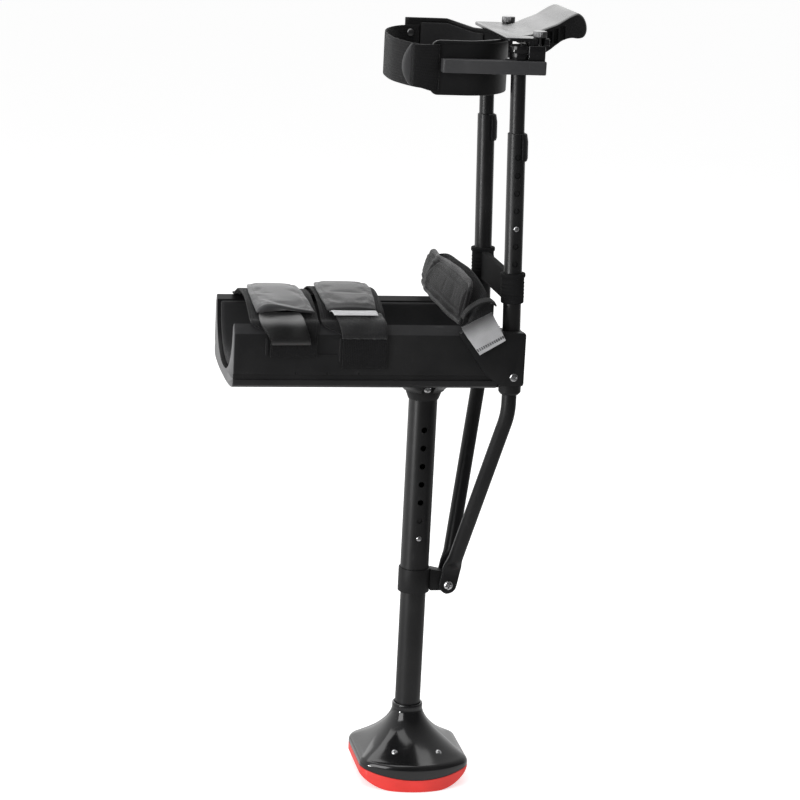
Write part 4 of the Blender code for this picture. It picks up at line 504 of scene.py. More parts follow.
def cloth_material(name, colour, pitch, relief, stretch, roughness, sheen, specular, contrast, fade=0.3,
                   painted_shade_run=0.0):
    """Woven cloth on the piece's own UV map: thread relief, painted shade that darkens the weave's low places so
    the threads on top look lighter, fuzz and slow fading.

    Where the shade run is set, painted shade darkens the piece's first end, easing out over that many metres.
    """
    _, tree, shader, coords = new_material(name)
    run = Signal(coords, "UV")
    weave = grouped(tree, "weave", {"Vector": run, "Pitch": pitch * MM, "Stretch": stretch})
    light = scaled(colour, 1.0 + contrast, most=1.0)
    worn = (noise(Signal(coords, "Object"), 22.0, 5.0) - 0.4) * (fade * 2.0)
    # Painted shade: the weave's low places darker, its raised threads lighter
    base = blend_colour((weave["Height"] * 0.6).clamped(), scaled(colour, 1.0 - contrast), light)
    base = blend_colour(weave["Warp"] * 0.2, base, light)
    base = blend_colour(worn.clamped(), base, scaled(colour, 1.8, most=1.0))
    # Painted shade at the first end, where the knee strap's loop overhangs the tape
    if painted_shade_run > 0.0:
        along = Signal(node(tree, "ShaderNodeSeparateXYZ", {0: run}), 0)
        eased = node(tree, "ShaderNodeMapRange", {0: along, 2: painted_shade_run}, interpolation_type="SMOOTHSTEP")
        base = blend_colour(Signal(eased), scaled(colour, 0.12), base)
    rough = weave["Fuzz"] * 0.2 + (roughness - 0.1)
    dress_shader(shader, weave["Height"] + weave["Fuzz"] * 0.5, relief, {
        "Base Color": base, "Roughness": rough.clamped(), "Specular IOR Level": specular,
        "Sheen Weight": sheen, "Sheen Roughness": 0.4})


# Hard finishes: colour and its factor, roughness and its spread, grain cell and relief in millimetres,
# specular level, scratches and dust
HARD_FINISHES = {
    "tube paint": ("paint", 1.0, 0.36, 0.10, 1.6, 0.01, 0.5, 0.5, 0.3),
    "strut paint": ("paint", 1.0, 0.38, 0.10, 1.6, 0.02, 0.3, 0.5, 0.3),
    "moulded plastic": ("plastic", 1.0, 0.48, 0.12, 0.7, 0.05, 0.25, 0.4, 0.3),
    "tray plastic": ("plastic", 1.15, 0.37, 0.14, 0.8, 0.06, 0.45, 0.6, 0.35),
    # Painted highlight: lighter copies of the tray plastic for its rear face and sloped shoulders
    "tray rim": ("plastic", 5.0, 0.42, 0.14, 0.8, 0.08, 0.6, 0.8, 0.5),
    "tray shoulder": ("plastic", 2.6, 0.4, 0.14, 0.8, 0.06, 0.45, 0.8, 0.4),
    "matt plastic": ("plastic", 1.0, 0.82, 0.12, 0.7, 0.05, 0.1, 0.4, 0.1),
    "bar plastic": ("plastic", 4.4, 0.5, 0.1, 0.7, 0.04, 0.4, 0.5, 0.5),
    "gloss plastic": ("gloss", 1.0, 0.13, 0.08, 4.0, 0.01, 0.5, 0.6, 0.3),
    "grip plastic": ("gloss", 1.0, 0.26, 0.12, 3.0, 0.02, 0.42, 0.8, 0.4),
    "red rubber": ("rubber", 1.0, 0.42, 0.14, 1.1, 0.05, 0.4, 0.2, 0.5),
    "plated steel": ("steel", 1.0, 0.2, 0.14, 1.2, 0.01, 0.5, 0.7, 0.2),
    "spring steel": ("steel", 0.6, 0.34, 0.14, 1.2, 0.01, 0.5, 0.7, 0.2),
    "dark steel": ("steel", 0.36, 0.32, 0.14, 1.2, 0.01, 0.5, 0.7, 0.2),
}
# Cloths: colour and its factor, thread pitch and relief in millimetres, stretch of the weft, roughness,
# sheen, specular level and contrast
CLOTHS = {
    "liner cloth": ("liner", 1.0, 0.7, 0.06, 1.0, 0.9, 0.12, 0.15, 0.35),
    "webbing": ("webbing", 1.0, 1.5, 0.22, 1.6, 0.7, 0.08, 0.22, 0.35),
    "soft webbing": ("webbing", 1.4, 1.3, 0.16, 2.2, 0.55, 0.3, 0.4, 0.35),
    "elastic": ("webbing", 1.0, 1.1, 0.16, 2.6, 0.72, 0.12, 0.2, 0.35),
    "satin cloth": ("satin", 1.0, 0.4, 0.03, 1.0, 0.42, 0.35, 0.5, 0.2),
    "satin binding": ("satin", 0.7, 0.6, 0.06, 1.0, 0.5, 0.3, 0.3, 0.35),
    "satin tape": ("satin", 0.09, 0.9, 0.04, 1.0, 0.28, 0.08, 1.0, 0.2),
    # Painted shade: a darker copy of the calf pads' satin, for the front pad
    "satin front": ("satin", 0.48, 0.4, 0.03, 1.0, 0.42, 0.2, 0.4, 0.2),
    "quilt cloth": ("quilt", 1.0, 0.5, 0.05, 1.0, 0.6, 0.12, 0.25, 0.25),
    "quilt binding": ("quilt", 2.2, 0.8, 0.1, 1.0, 0.55, 0.25, 0.4, 0.2),
    "hook tape": ("tape", 1.12, 0.9, 0.2, 1.0, 0.4, 0.3, 0.6, 0.45),
    # Painted highlight: a lighter copy of the hook tape, for the strip below the front pad
    "pale tape": ("tape", 1.9, 0.9, 0.15, 1.0, 0.45, 0.25, 0.3, 0.2),
    "loop tape": ("tape", 0.032, 1.2, 0.16, 1.0, 0.7, 0.1, 0.2, 0.35),
    "thread": ("webbing", 1.6, 0.3, 0.03, 1.0, 0.6, 0.2, 0.3, 0.35),
}
# What some finishes have besides
EXTRAS = {
    "gloss plastic": {"coat": 0.4},
    "red rubber": {"dust_colour": (0.45, 0.2, 0.17)},
    "plated steel": {"metallic": 1.0},
    "spring steel": {"metallic": 1.0},
    "dark steel": {"metallic": 1.0},
    # The hook tape's first 20 mm get painted shade under the loop
    "hook tape": {"fade": 0.9, "painted_shade_run": 0.02},
}


def make_materials(colours):
    """Every finish of the crutch, by name."""
    moulded_grain_group()
    handling_group()
    weave_group()
    for table, build in ((HARD_FINISHES, hard_material), (CLOTHS, cloth_material)):
        for name, (colour, factor, *numbers) in table.items():
            build(name, scaled(getattr(colours, colour), factor), *numbers, **EXTRAS.get(name, {}))


def finish(made, body, material, slot, *replaced):
    """Gives a finished piece its material and body, and hides the solids that it stands for; its slot is not
    used.
    """
    made.data.materials.clear()
    made.data.materials.append(bpy.data.materials[material])
    settle_piece(made, body, slot, *replaced)
    return made


def settle_piece(made, body, slot, *replaced):
    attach(made, body)
    if replaced:
        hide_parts(*replaced)


def dress_node(name, material, edge=0.5):
    """A solid that stays: merged, its flat faces cleaned, its edges rounded, with a real finish."""
    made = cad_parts[name]
    made.data.materials.clear()
    made.data.materials.append(bpy.data.materials[material])
    for attribute in ("custom_normal", "sharp_face", "sharp_edge"):
        if attribute in made.data.attributes:
            made.data.attributes.remove(made.data.attributes[attribute])
    made.data.polygons.foreach_set("use_smooth", np.ones(len(made.data.polygons), bool))
    crease = math.radians(34.0)
    steps = {
        "weld": ("WELD", {"merge_threshold": 0.00001}),
        "flat": ("DECIMATE", {"decimate_type": "DISSOLVE", "angle_limit": math.radians(0.4)}),
        "edge": ("BEVEL", {"width": edge * MM, "segments": 2, "limit_method": "ANGLE", "angle_limit": crease,
                           "use_clamp_overlap": True, "miter_outer": "MITER_ARC"}),
        "sharp": ("EDGE_SPLIT", {"split_angle": crease, "use_edge_sharp": False}),
    }
    if edge == 0.0:
        del steps["edge"]
    for label, (kind, settings) in steps.items():
        modifier = made.modifiers.new(label, kind)
        for key, value in settings.items():
            setattr(modifier, key, value)
    return made


# Foot


def foot_half_width(x):
    """Half width of the foot at x: a shallow arc between its ends, with round corners."""
    away = np.minimum(np.abs(np.asarray(x, float) - FOOT_X), FOOT_HALF)
    bow = FOOT_MID - FOOT_END
    radius = (FOOT_HALF ** 2 + bow ** 2) / (2.0 * bow)
    width = FOOT_MID - radius + np.sqrt(radius ** 2 - away ** 2)
    into = np.clip(away - (FOOT_HALF - FOOT_CORNER), 0.0, FOOT_CORNER)
    return width - (FOOT_CORNER - np.sqrt(FOOT_CORNER ** 2 - into ** 2))


def sole_top(x):
    """Height of the seam over the sole: a parabola, higher at both ends."""
    return 13.7 + 7.3 * (np.abs(np.asarray(x, float) - FOOT_X) / FOOT_HALF) ** 2


def sole_bottom(x):
    """Height of the walking face: flat between x = -25 and 25 mm, then an arc of 50 mm radius."""
    past = np.clip(np.abs(np.asarray(x, float)) - 25.0, 0.0, 50.0)
    return 50.0 - np.sqrt(2500.0 - past ** 2)


def foot_plan(count):
    """The foot's plan at even angles: for each angle the reach is halved in until it meets the outline."""
    angle = circle(count, 0.5)
    low, high = np.zeros(count), np.full(count, 100.0)
    for _ in range(36):
        reach = (low + high) / 2.0
        x, y = reach * np.cos(angle), np.abs(reach * np.sin(angle))
        inside = (np.abs(x) < FOOT_HALF - 0.02) & (y < foot_half_width(FOOT_X + x))
        low, high = np.where(inside, reach, low), np.where(inside, high, reach)
    return np.stack([FOOT_X + low * np.cos(angle), low * np.sin(angle)], axis=1), angle


def rounder(reach, spread):
    """Reach at even angles with its corners smoothed: wave k is lowered by exp(-(k spread)^2 / 2)."""
    waves = np.fft.rfft(reach)
    return np.fft.irfft(waves * np.exp(-(np.arange(len(waves)) * spread) ** 2 / 2.0), len(reach))


def cover_grid(count):
    """Rows of the cover, outside going up and inside coming down.

    A row at share s of the height is the plan drawn in towards the round neck by (1 - s) ** 1.65, its
    corners smoothed more and more on the way up; the shoulder between wall and dome is a quadratic curve.
    """
    wall_top, shoulder, power = 23.5, 0.07, 1.65
    plan, angle = foot_plan(count)
    round_about = np.stack([np.cos(angle), np.sin(angle)], axis=1)
    neck = round_about * NECK_R
    reach = np.linalg.norm(plan - (FOOT_X, 0.0), axis=1)

    def row(z, share, inset=0.0, drop=0.0):
        middle = np.array((FOOT_X * share, 0.0))
        spread = 0.24 * float(smooth_step(1.0 - share, 0.0, 0.62))
        spot = neck + (round_about * rounder(reach, spread)[:, None] + (FOOT_X, 0.0) - neck) * share
        spot = middle + (spot - middle) * (1.0 - inset / np.linalg.norm(spot - middle, axis=1, keepdims=True))
        height = np.broadcast_to(np.asarray(z, float), (count,)) - drop
        return np.column_stack([spot, height])

    seam = sole_top(plan[:, 0]) + GAP
    rise = COVER_NECK - COVER_RIM
    rows = [row(seam, 1.0, 0.5), row(seam + 0.5, 1.0)]
    rows += [row(lerp(seam + 0.5, wall_top, t), 1.0) for t in (0.35, 0.7)]
    start, corner = np.array((wall_top, 1.0)), np.array((COVER_RIM + 0.8, 1.0))
    end = np.array((COVER_RIM + rise * shoulder, (1.0 - shoulder) ** power))
    rows += [row(*quadratic(start, corner, end, t)) for t in np.linspace(0.0, 1.0, 9)]
    rows += [row(COVER_RIM + rise * s, (1.0 - s) ** power) for s in np.linspace(shoulder, 1.0, 30)[1:]]
    collar = ((77.5, 0.0), (80.6, 0.0), (81.5, 0.3), (82.0, 1.0), (82.0, 1.7), (81.6, 2.3), (80.8, 2.6),
              (66.0, 2.6))
    rows += [row(z, 0.0, inset) for z, inset in collar]
    rows += [row(COVER_RIM + rise * s, (1.0 - s) ** power, 3.0, 3.0) for s in np.linspace(0.72, 0.0, 12)]
    rows += [row(seam + 0.3, 1.0, 3.0), row(seam, 1.0, 2.6)]
    return np.array(rows)


def sole_grid():
    """Sections of the sole across X; the walking face rises by the tread's depth in every groove."""
    ends = 7.0 * (1.0 - np.cos(quarter(9)))
    rear, front = FOOT_X - FOOT_HALF, FOOT_X + FOOT_HALF
    grooves = 11.0 * (np.arange(10) - 4.5)
    steps = (grooves[:, None] + np.array((-2.0, -1.7, -1.35, 1.35, 1.7, 2.0))).ravel()
    x = np.unique(np.r_[rear + ends, front - ends, steps, np.linspace(rear + 7.0, front - 7.0, 60)])
    x = x[(x >= rear) & (x <= front)]
    depth = 1.8 * (1.0 - smooth_step(np.abs(x[:, None] - grooves).min(axis=1), 1.35, 1.9))
    width, top, bottom = foot_half_width(x), sole_top(x), sole_bottom(x)
    side = [(0.4, 1.0, 0.0, 0.0), (0.0, 1.0, 0.0, -0.4)]
    side += [(1.2 * (1.0 - math.cos(a)), 0.0, 1.0, 1.2 * (1.0 - math.sin(a))) for a in quarter(5)]
    half = [(width - inset, top * on_top + bottom * on_low + lift) for inset, on_top, on_low, lift in side]
    tread = ((0.94, 0.0), (0.88, 1.0), (0.5, 1.0), (0.2, 1.0))
    middle = [(width * s, bottom + depth * cut) for s, cut in tread]
    over = [(width * s, top) for s in (0.2, 0.6, 0.9)]
    near = over + half + middle
    loop = [(-y, z) for y, z in near] + [(y, z) for y, z in near[::-1]]
    return np.stack([np.stack([x, y, z], axis=1) for y, z in loop], axis=1)


def axis_of(name):
    """A turned solid's foot, direction towards its wider end, and length, from its own vertices."""
    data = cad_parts[name].data
    points = np.zeros(len(data.vertices) * 3)
    data.vertices.foreach_get("co", points)
    points = np.unique(np.round(points.reshape(-1, 3) / MM, 3), axis=0)
    middle = (points.min(axis=0) + points.max(axis=0)) / 2.0
    along = np.linalg.svd(points - points.mean(axis=0))[2][0]
    for _ in range(2):
        reach = (points - middle) @ along
        radius = np.linalg.norm(points - middle - reach[:, None] * along, axis=1)
        low = points[reach < reach.min() + 0.05].mean(axis=0)
        high = points[reach > reach.max() - 0.05].mean(axis=0)
        along, middle = unit(high - low), (low + high) / 2.0
    length = np.linalg.norm(high - low)
    wide = radius[reach > 0.0].max() >= radius[reach < 0.0].max()
    return (low, along, length) if wide else (high, -along, length)


def screw_head_grid(radius, height, count=64):
    """Rings of a pan head: a round dome whose middle sinks wherever it lies within the cross recess."""
    long, short, depth = radius * 0.62, radius * 0.16, height * 0.85
    share = np.r_[np.linspace(0.03, 0.62, 14), np.linspace(0.66, 1.0, 9)]
    r, a = np.meshgrid(share * radius, circle(count), indexing="ij")
    dome = height * (1.0 - (r / radius) ** 3.2 * 0.75)
    x, y = np.abs(r * np.cos(a)), np.abs(r * np.sin(a))
    arm = np.minimum(np.maximum(x / long, y / short), np.maximum(x / short, y / long))
    return r, dome - depth * (1.0 - smooth_step(arm, 0.82, 1.0))


def pan_screw(name, base, direction, shank, length, head, height):
    """A screw: shank below, then a rolled rim and the pan head with its cross recess."""
    below = np.array([(shank, -length), (shank, -0.02), (head - 0.2, -0.02), (head, 0.15)])
    radius, level = [np.vstack([np.repeat(below[:, k:k + 1], top.shape[1], axis=1), top[::-1]])
                     for k, top in enumerate(screw_head_grid(head, height))]
    ring = spokes(direction, radius.shape[1])
    grid = np.asarray(base) + radius[..., None] * ring + level[..., None] * direction
    return skin(name, grid, capped=True, corner=40.0)


class CRUTCH_OT_foot(bpy.types.Operator):
    """Glossy domed cover, red rocker sole and the four cross-head screws"""

    bl_idname = "crutch.foot"
    bl_label = "Foot"

    def execute(self, context):
        sizes = context.scene.crutch_sizes
        cover = skin("foot_shell", cover_grid(sizes.foot_facets), along=True, corner=40.0)
        finish(cover, "lower_leg", "gloss plastic", "gloss_plastic", "foot_cover")
        sole = skin("foot_tread", sole_grid(), capped=True, corner=40.0)
        finish(sole, "lower_leg", "red rubber", "red_rubber", "foot_sole")
        dress_node("foot_core", "moulded plastic", 0.0)
        for number in range(1, 5):
            base, along, length = axis_of(f"foot_screw_{number}")
            seat = base + along * (length - 1.6)
            screw = pan_screw(f"foot_pan_screw_{number}", seat, along, 2.2, length - 1.7, 3.3, 1.5)
            finish(screw, "lower_leg", "plated steel", "bright_steel", f"foot_screw_{number}")
        return {"FINISHED"}


# Tubes, buttons and struts


def button_hole(spot, out, radius):
    """A snap button's hole through one wall of a tube, from a spot on its axis: ends and radius."""
    return spot + out * (radius + 3.0), spot + out * (radius - 4.0), HOLE_R


def tube(name, start, end, outer, inner, holes, count):
    """A tube with rolled rims: a thin section is turned round the axis, then drilled through one wall."""
    start, end = np.asarray(start, float), np.asarray(end, float)
    length = float(np.linalg.norm(end - start))
    rim = min(0.45, (outer - inner) * 0.4)
    steps = np.arange(6.0, length - 3.0, 6.0)
    profile = [(inner + rim, 0.0), (outer - rim, 0.0), (outer, rim), *((outer, s) for s in steps),
               (outer, length - rim), (outer - rim, length), (inner + rim, length), (inner, length - rim),
               *((inner, s) for s in steps[::-3]), (inner, rim)]
    made = turned(name, profile, start, end - start, count, hollow=True)
    return boolean(made, [drill(*hole, 28) for hole in holes])


def dome_button(name, start, out, tip):
    """A snap button: a straight pin that ends in a rolled dome, with a tool mark in its middle."""
    low, dome = tip - 5.6, tip - 1.6
    profile = [(3.9, low), (3.9, low + 1.0), (2.9, low + 1.05), (2.9, dome)]
    profile += [(0.6 + 2.3 * math.cos(a), dome + 1.6 * math.sin(a)) for a in quarter(9)[1:]]
    profile += [(0.5, tip - 0.02), (0.35, tip - 0.3), (0.05, tip - 0.34)]
    return turned(name, profile, start, out, 40, corner=50.0)


def strut_grid(side):
    """Sections of a strut: round where it is a tube, and squeezed to a flat plate round the bolt.

    Each section is an ellipse of thickness by width whose cosine is raised to a power below one where
    the plate is, so that its faces go flat.
    """
    tube_r, plate_half, plate_thick = 8.0, 10.0, 2.3
    top = np.array((post_at(466.6, side)[0], side * POST_Y, 466.6))
    knee = np.array((top[0], side * POST_Y, 432.5))
    bolt = np.array((36.6, side * (7.0 + GAP + plate_thick), 221.0))
    slope = unit((knee[0] - bolt[0], 0.0, knee[2] - bolt[2]))
    plate_top = bolt + slope * 19.0
    ramp_top = plate_top + unit(knee - plate_top) * 16.0
    lean = unit(ramp_top - knee)
    bend = quadratic(knee + (0.0, 0.0, 12.5), knee, knee + lean * 12.5, np.linspace(0.0, 1.0, 14)[:, None])
    straight = lerp(bend[-1], ramp_top, np.linspace(0.0, 1.0, 16)[1:, None])
    ease = np.linspace(0.0, 1.0, 10)[1:]
    ramp = lerp(ramp_top, plate_top, ease[:, None])
    turn = quarter(10)[1:]
    tail = np.array([bolt - slope * plate_half * math.sin(a) for a in turn])
    path = np.vstack([top, lerp(top, bend[0], 0.5), bend, straight, ramp, bolt + slope * 9.0, bolt, tail])
    round_rows = 2 + len(bend) + len(straight)
    melt = np.r_[np.zeros(round_rows), smooth_step(ease, 0.0, 1.0), np.ones(2 + len(tail))]
    wide = lerp(tube_r, plate_half, melt)
    wide[-len(tail):] = np.maximum(plate_half * np.cos(turn), 0.6)
    thick = lerp(tube_r, plate_thick, melt)
    along = unit(np.gradient(path, axis=0))
    along[-len(tail) - 2:] = -slope
    thin = unit(np.array((0.0, 1.0, 0.0)) - along * along[:, 1:2])
    broad = np.cross(along, thin)
    a = circle(40, 0.5)
    power = lerp(1.0, 0.3, melt)[:, None]
    c = np.sign(np.cos(a)) * np.abs(np.cos(a)) ** power
    grid = path[:, None] + thin[:, None] * (thick[:, None] * c)[..., None]
    return grid + broad[:, None] * (wide[:, None] * np.sin(a))[..., None]


class CRUTCH_OT_leg(bpy.types.Operator):
    """Leg tubes with their row of holes, snap button, collar, socket and the two struts"""

    bl_idname = "crutch.leg"
    bl_label = "Leg and struts"

    def execute(self, context):
        count = context.scene.crutch_sizes.tube_facets
        out = np.array((0.0, -1.0, 0.0))
        spots = [np.array((0.0, 0.0, z)) for z in LEG_BUTTON + LEG_PITCH * np.arange(7)]
        holes = [button_hole(spot, out, LEG_R) for spot in spots]
        outer = tube("leg_outer_tube", (0, 0, 215.0), (0, 0, 453.0), LEG_R, LEG_BORE, holes, count)
        finish(outer, "frame", "tube paint", "black_paint", "leg_tube")
        hole = button_hole(spots[0], out, LOWER_R)
        inner = tube("leg_inner_tube", (0, 0, 31.0), (0, 0, 308.0), LOWER_R, LOWER_BORE, [hole], count)
        finish(inner, "lower_leg", "tube paint", "black_paint", "lower_leg_tube")
        button = dome_button("leg_snap_button", spots[0], out, LEG_R + 1.8)
        finish(button, "leg_button", "plated steel", "bright_steel", "leg_button")
        dress_node("leg_spring_clip", "spring steel", 0.0)
        dress_node("leg_collar", "moulded plastic", 0.7)
        dress_node("leg_socket", "moulded plastic", 0.7)
        for name, side in SIDES:
            rod = skin(f"strut_tube_{name}", strut_grid(side), capped=True, corner=50.0)
            finish(rod, "frame", "strut paint", "black_paint", f"strut_{name}")
        return {"FINISHED"}


class CRUTCH_OT_posts(bpy.types.Operator):
    """Both telescopic posts with their holes, snap buttons and leaf springs, and the clips on their tops"""

    bl_idname = "crutch.posts"
    bl_label = "Posts"

    def execute(self, context):
        count = context.scene.crutch_sizes.tube_facets
        for name, side in SIDES:
            out = np.array((0.0, side, 0.0))
            button = post_at(POST_BUTTON, side)
            holes = [button_hole(button + POST_UP * POST_PITCH * k, out, POST_R) for k in range(-2, 5)]
            low, high = post_at(471.4, side), post_at(734.0, side)
            outer = tube(f"post_outer_tube_{name}", low, high, POST_R, POST_BORE, holes, count)
            finish(outer, "frame", "tube paint", "black_paint", f"post_tube_{name}")
            hole = button_hole(button, out, THIGH_R)
            low, high = post_at(523.0, side), post_at(825.2, side)
            inner = tube(f"post_inner_tube_{name}", low, high, THIGH_R, THIGH_BORE, [hole], count)
            finish(inner, "thigh_frame", "tube paint", "black_paint", f"thigh_tube_{name}")
            pin = dome_button(f"post_snap_button_{name}", button, out, POST_R + 1.8)
            finish(pin, f"post_button_{name}", "plated steel", "bright_steel", f"post_button_{name}")
            dress_node(f"post_spring_{name}", "spring steel", 0.0)
            dress_node(f"post_clip_{name}", "moulded plastic", 0.3)
        return {"FINISHED"}


class CRUTCH_OT_fasteners(bpy.types.Operator):
    """Strut bolt and nut, socket bolt and nut, and the screws of the knee brackets"""

    bl_idname = "crutch.fasteners"
    bl_label = "Bolts and screws"

    def execute(self, context):
        for name, made_name, head, height in (("strut_bolt", "strut_pan_bolt", 5.2, 3.0),
                                              ("socket_bolt", "socket_pan_bolt", 4.4, 2.2)):
            base, along, length = axis_of(name)
            shank = length - height - 0.4
            bolt = pan_screw(made_name, base + along * shank, along, 3.0, shank, head, height)
            finish(bolt, "frame", "plated steel", "bright_steel", name)
        for name, _ in SIDES:
            base, along, length = axis_of(f"knee_screw_{name}")
            seat = base + along * (length - 1.6)
            screw = pan_screw(f"knee_pan_screw_{name}", seat, along, 2.4, length - 1.7, 4.2, 1.5)
            finish(screw, "frame", "plated steel", "bright_steel", f"knee_screw_{name}")
        for name in ("strut_nut", "socket_nut"):
            dress_node(name, "plated steel", 0.35)
        return {"FINISHED"}


# Tray


def flare():
    """Turned root of the socket: its underside rises by the 0.65 power of the way out to the belly."""
    share = np.linspace(0.0, 1.0, 14) ** 1.6
    profile = [(20.6, 441.5), (22.0, 441.5)]
    profile += list(zip(22.5 + 25.5 * share, 441.7 + 14.3 * share ** 0.65)) + [(48.0, 458.5)]
    return turned("flare", profile, (0, 0, 0), (0, 0, 1), 96, corner=28.0)


def trough_line(wall, floor, level=math.inf):
    """The tray's hollow in Y and Z: a rounded trough of power 2.2, drawn in by a wall and a floor.

    Only the points below the level are kept.
    """
    half, depth, power = 71.0, 63.0, 2.2
    s = np.sin(np.pi / 2.0 * np.linspace(-1.0, 1.0, 61))
    z = TRAY_TOP - depth * (1.0 - np.abs(s) ** power) ** (1.0 / power)
    line = np.stack([half * s, z], axis=1)
    along = unit(np.gradient(line, axis=0))
    normal = np.stack([-along[:, 1], along[:, 0]], axis=1)
    normal[0], normal[-1] = (1.0, 0.0), (-1.0, 0.0)
    line = line + normal * (wall + (floor - wall) * (1.0 - np.abs(s)))[:, None]
    return line[line[:, 1] < level]


def tray_section():
    """The shell in Y and Z: rim, sloped shoulder, wall, groove, lip and belly, then the trough."""
    side = [(76.0, TRAY_TOP), (TRAY_HALF, SHOULDER), (TRAY_HALF, 476.4), (79.0, 476.4), (79.0, 470.2),
            (81.0, 470.2), (79.0, 464.0)]
    s = np.linspace(0.97, 0.0, 12)
    under = np.stack([79.0 * s, 464.0 - (464.0 - TRAY_BELLY) * np.sqrt(1.0 - s ** 2)], axis=1)
    right = np.vstack([softened(side, 0.7, 3, closed=False), under])
    left = right[:-1] * (-1.0, 1.0)
    return np.vstack([left, right[::-1], trough_line(0.0, 0.0)[::-1][1:-1]])


def tray_shell():
    """The section carried along X with drawn-in ends, then the socket's root, strap bars, slots and cuts."""
    ends = np.array((0.0, 0.25, 0.8))
    stations = [*(TRAY_REAR + ends), *np.linspace(-213.0, 77.0, 26), *(TRAY_FRONT - ends[::-1])]
    section = tray_section()
    rows = np.array([np.column_stack([np.full(len(section), x), section]) for x in stations])
    for k, drawn in ((0, 0.7), (1, 0.2), (-1, 0.7), (-2, 0.2)):
        middle = rows[k, :, 1:].mean(axis=0)
        rows[k, :, 1:] += unit(middle - rows[k, :, 1:]) * drawn
    made = skin("tray_moulding", rows, capped=True, corner=28.0)
    bars = []
    for x, low, high in ((-187.0, 497.0, 515.0), (-109.0, 490.0, 515.6)):
        for side in (-1.0, 1.0):
            outline = box_outline((x, low), (x + 3.2, high), 0.9)
            bars.append(slab("bar", outline, *side_span(side, 80.0, 83.0), edge=0.5))
    boolean(made, [*bars, flare()], "UNION", 28.0)
    tools = [drill((0, 0, 420.0), (0, 0, 459.3), 21.3, 64)]
    tools += [cutter_box((-6.5, -49.0, 431.0), (6.5, 49.0, 453.2))]
    tools += side_boxes((-131.5, -109.8), (81.2, 84.0), (498.0, 514.6))
    for x in (-154.0, -120.5, -87.0):
        tools += side_boxes((x - 0.9, x + 0.9), (80.5, 83.5), (475.4, 478.6))
    tools += side_boxes((62.7, 110.0), (61.4, 92.3), (430.0, 560.0))
    return boolean(made, tools, "DIFFERENCE", 28.0)


def painted_highlight_edges(mesh):
    """The tray's rear end face and its sloped shoulders get their own finishes: a lighter colour, painted
    highlight where they catch the light, with a little more scratching and dust.
    """
    for name in ("tray rim", "tray shoulder"):
        mesh.materials.append(bpy.data.materials[name])
    middle = np.zeros(len(mesh.polygons) * 3)
    mesh.polygons.foreach_get("center", middle)
    x, y, z = middle.reshape(-1, 3).T / MM
    shoulder = (z > SHOULDER + 0.3) & (z < TRAY_TOP - 0.2) & (np.abs(y) > 75.0)
    kind = np.where(x < TRAY_REAR + 1.0, 1, np.where(shoulder, 2, 0))
    mesh.polygons.foreach_set("material_index", kind.astype(np.int32))


def liner_grid(wall, floor):
    """Foam on the trough: outer line against the shell, round top edges, inner line; ends drawn in round."""
    level, slack, crest_height, roll = 524.0, 0.35, 2.6, 4.5
    outer = trough_line(slack, slack, level)
    inner = trough_line(wall, floor, level)[::-1]
    turn = np.linspace(0.0, np.pi, 9)[1:-1]

    def crest(a, b):
        middle, half = (a + b) / 2.0, (b - a) / 2.0
        up = np.array((0.0, crest_height))
        return np.array([middle - half * math.cos(t) + up * math.sin(t) for t in turn])

    line = np.vstack([outer, crest(outer[-1], inner[0]), inner, crest(inner[-1], outer[0])])
    core = (outer + inner[::-1]) / 2.0
    nearest = np.linalg.norm(line[:, None] - core[None], axis=2).argmin(axis=1)
    rear, front = TRAY_REAR + 4.0, TRAY_FRONT - 4.0
    ends = [(roll * (1 - math.sin(a)), 1.0 - 0.62 * (1 - math.cos(a))) for a in quarter(7)]
    stations = [(rear + into, share) for into, share in ends[::-1]]
    stations += [(x, 1.0) for x in np.linspace(rear + roll, front - roll, 40)[1:-1]]
    stations += [(front - into, share) for into, share in ends]
    grid = []
    for x, share in stations:
        flat = core[nearest] + (line - core[nearest]) * share
        dip = 0.35 * np.sin(x * 0.11) * np.sin(line[:, 0] * 0.07)
        flat[:, 1] += dip * smooth_step(-line[:, 1], -520.0, -500.0)
        grid.append(np.column_stack([np.full(len(line), x), flat]))
    return np.array(grid)


class CRUTCH_OT_tray(bpy.types.Operator):
    """Moulded shin tray and the soft liner in its trough"""

    bl_idname = "crutch.tray"
    bl_label = "Shin tray and liner"

    def execute(self, context):
        sizes = context.scene.crutch_sizes
        shell = finish(tray_shell(), "frame", "tray plastic", "black_plastic", "tray_shell")
        painted_highlight_edges(shell.data)
        foam = liner_grid(sizes.liner_wall, sizes.liner_floor)
        liner = skin("tray_soft_liner", foam, capped=True, corner=60.0)
        boolean(liner, side_boxes((62.2, 110.0), (61.0, 92.3), (430.0, 560.0)), "DIFFERENCE", 40.0)
        finish(liner, "frame", "liner cloth", "foam", "tray_liner")
        return {"FINISHED"}


# Brackets, crossbar and grip


def crossbar():
    """A plate between the posts, united with two turned collars that carry five grip ribs under a lip."""
    low, high = 551.5, 583.0
    outline = softened([(post_at(low, 1)[0] - 4.0, low), (post_at(high, 1)[0] - 4.0, high),
                        (post_at(high, 1)[0] + 4.0, high), (post_at(low, 1)[0] + 4.0, low)], 1.6)
    made = slab("post_crossbar", outline, -POST_Y, POST_Y, edge=0.5)
    h = np.linspace(5.5, 24.5, 60)
    ribs = 12.15 + 0.35 * np.clip(np.sin((h - 5.5) / 19.0 * np.pi * 10.0), 0.0, 1.0) ** 0.7
    body = [(11.2, 0.0), (11.9, 0.35), (12.15, 1.0), (12.15, 5.4), *zip(ribs, h), (12.15, 26.4), (12.5, 27.6),
            (13.2, 28.2), (13.35, 28.8), (13.35, 31.0), (13.1, 31.7), (12.4, 32.0)]
    tools = []
    parts = []
    for side in (-1.0, 1.0):
        base = post_at(554.0, side)
        parts.append(turned("collar", body, base, POST_UP, 72))
        tools.append(drill(post_at(530.0, side), post_at(610.0, side), POST_R + GAP, 64))
    boolean(made, parts, "UNION")
    return boolean(made, tools)


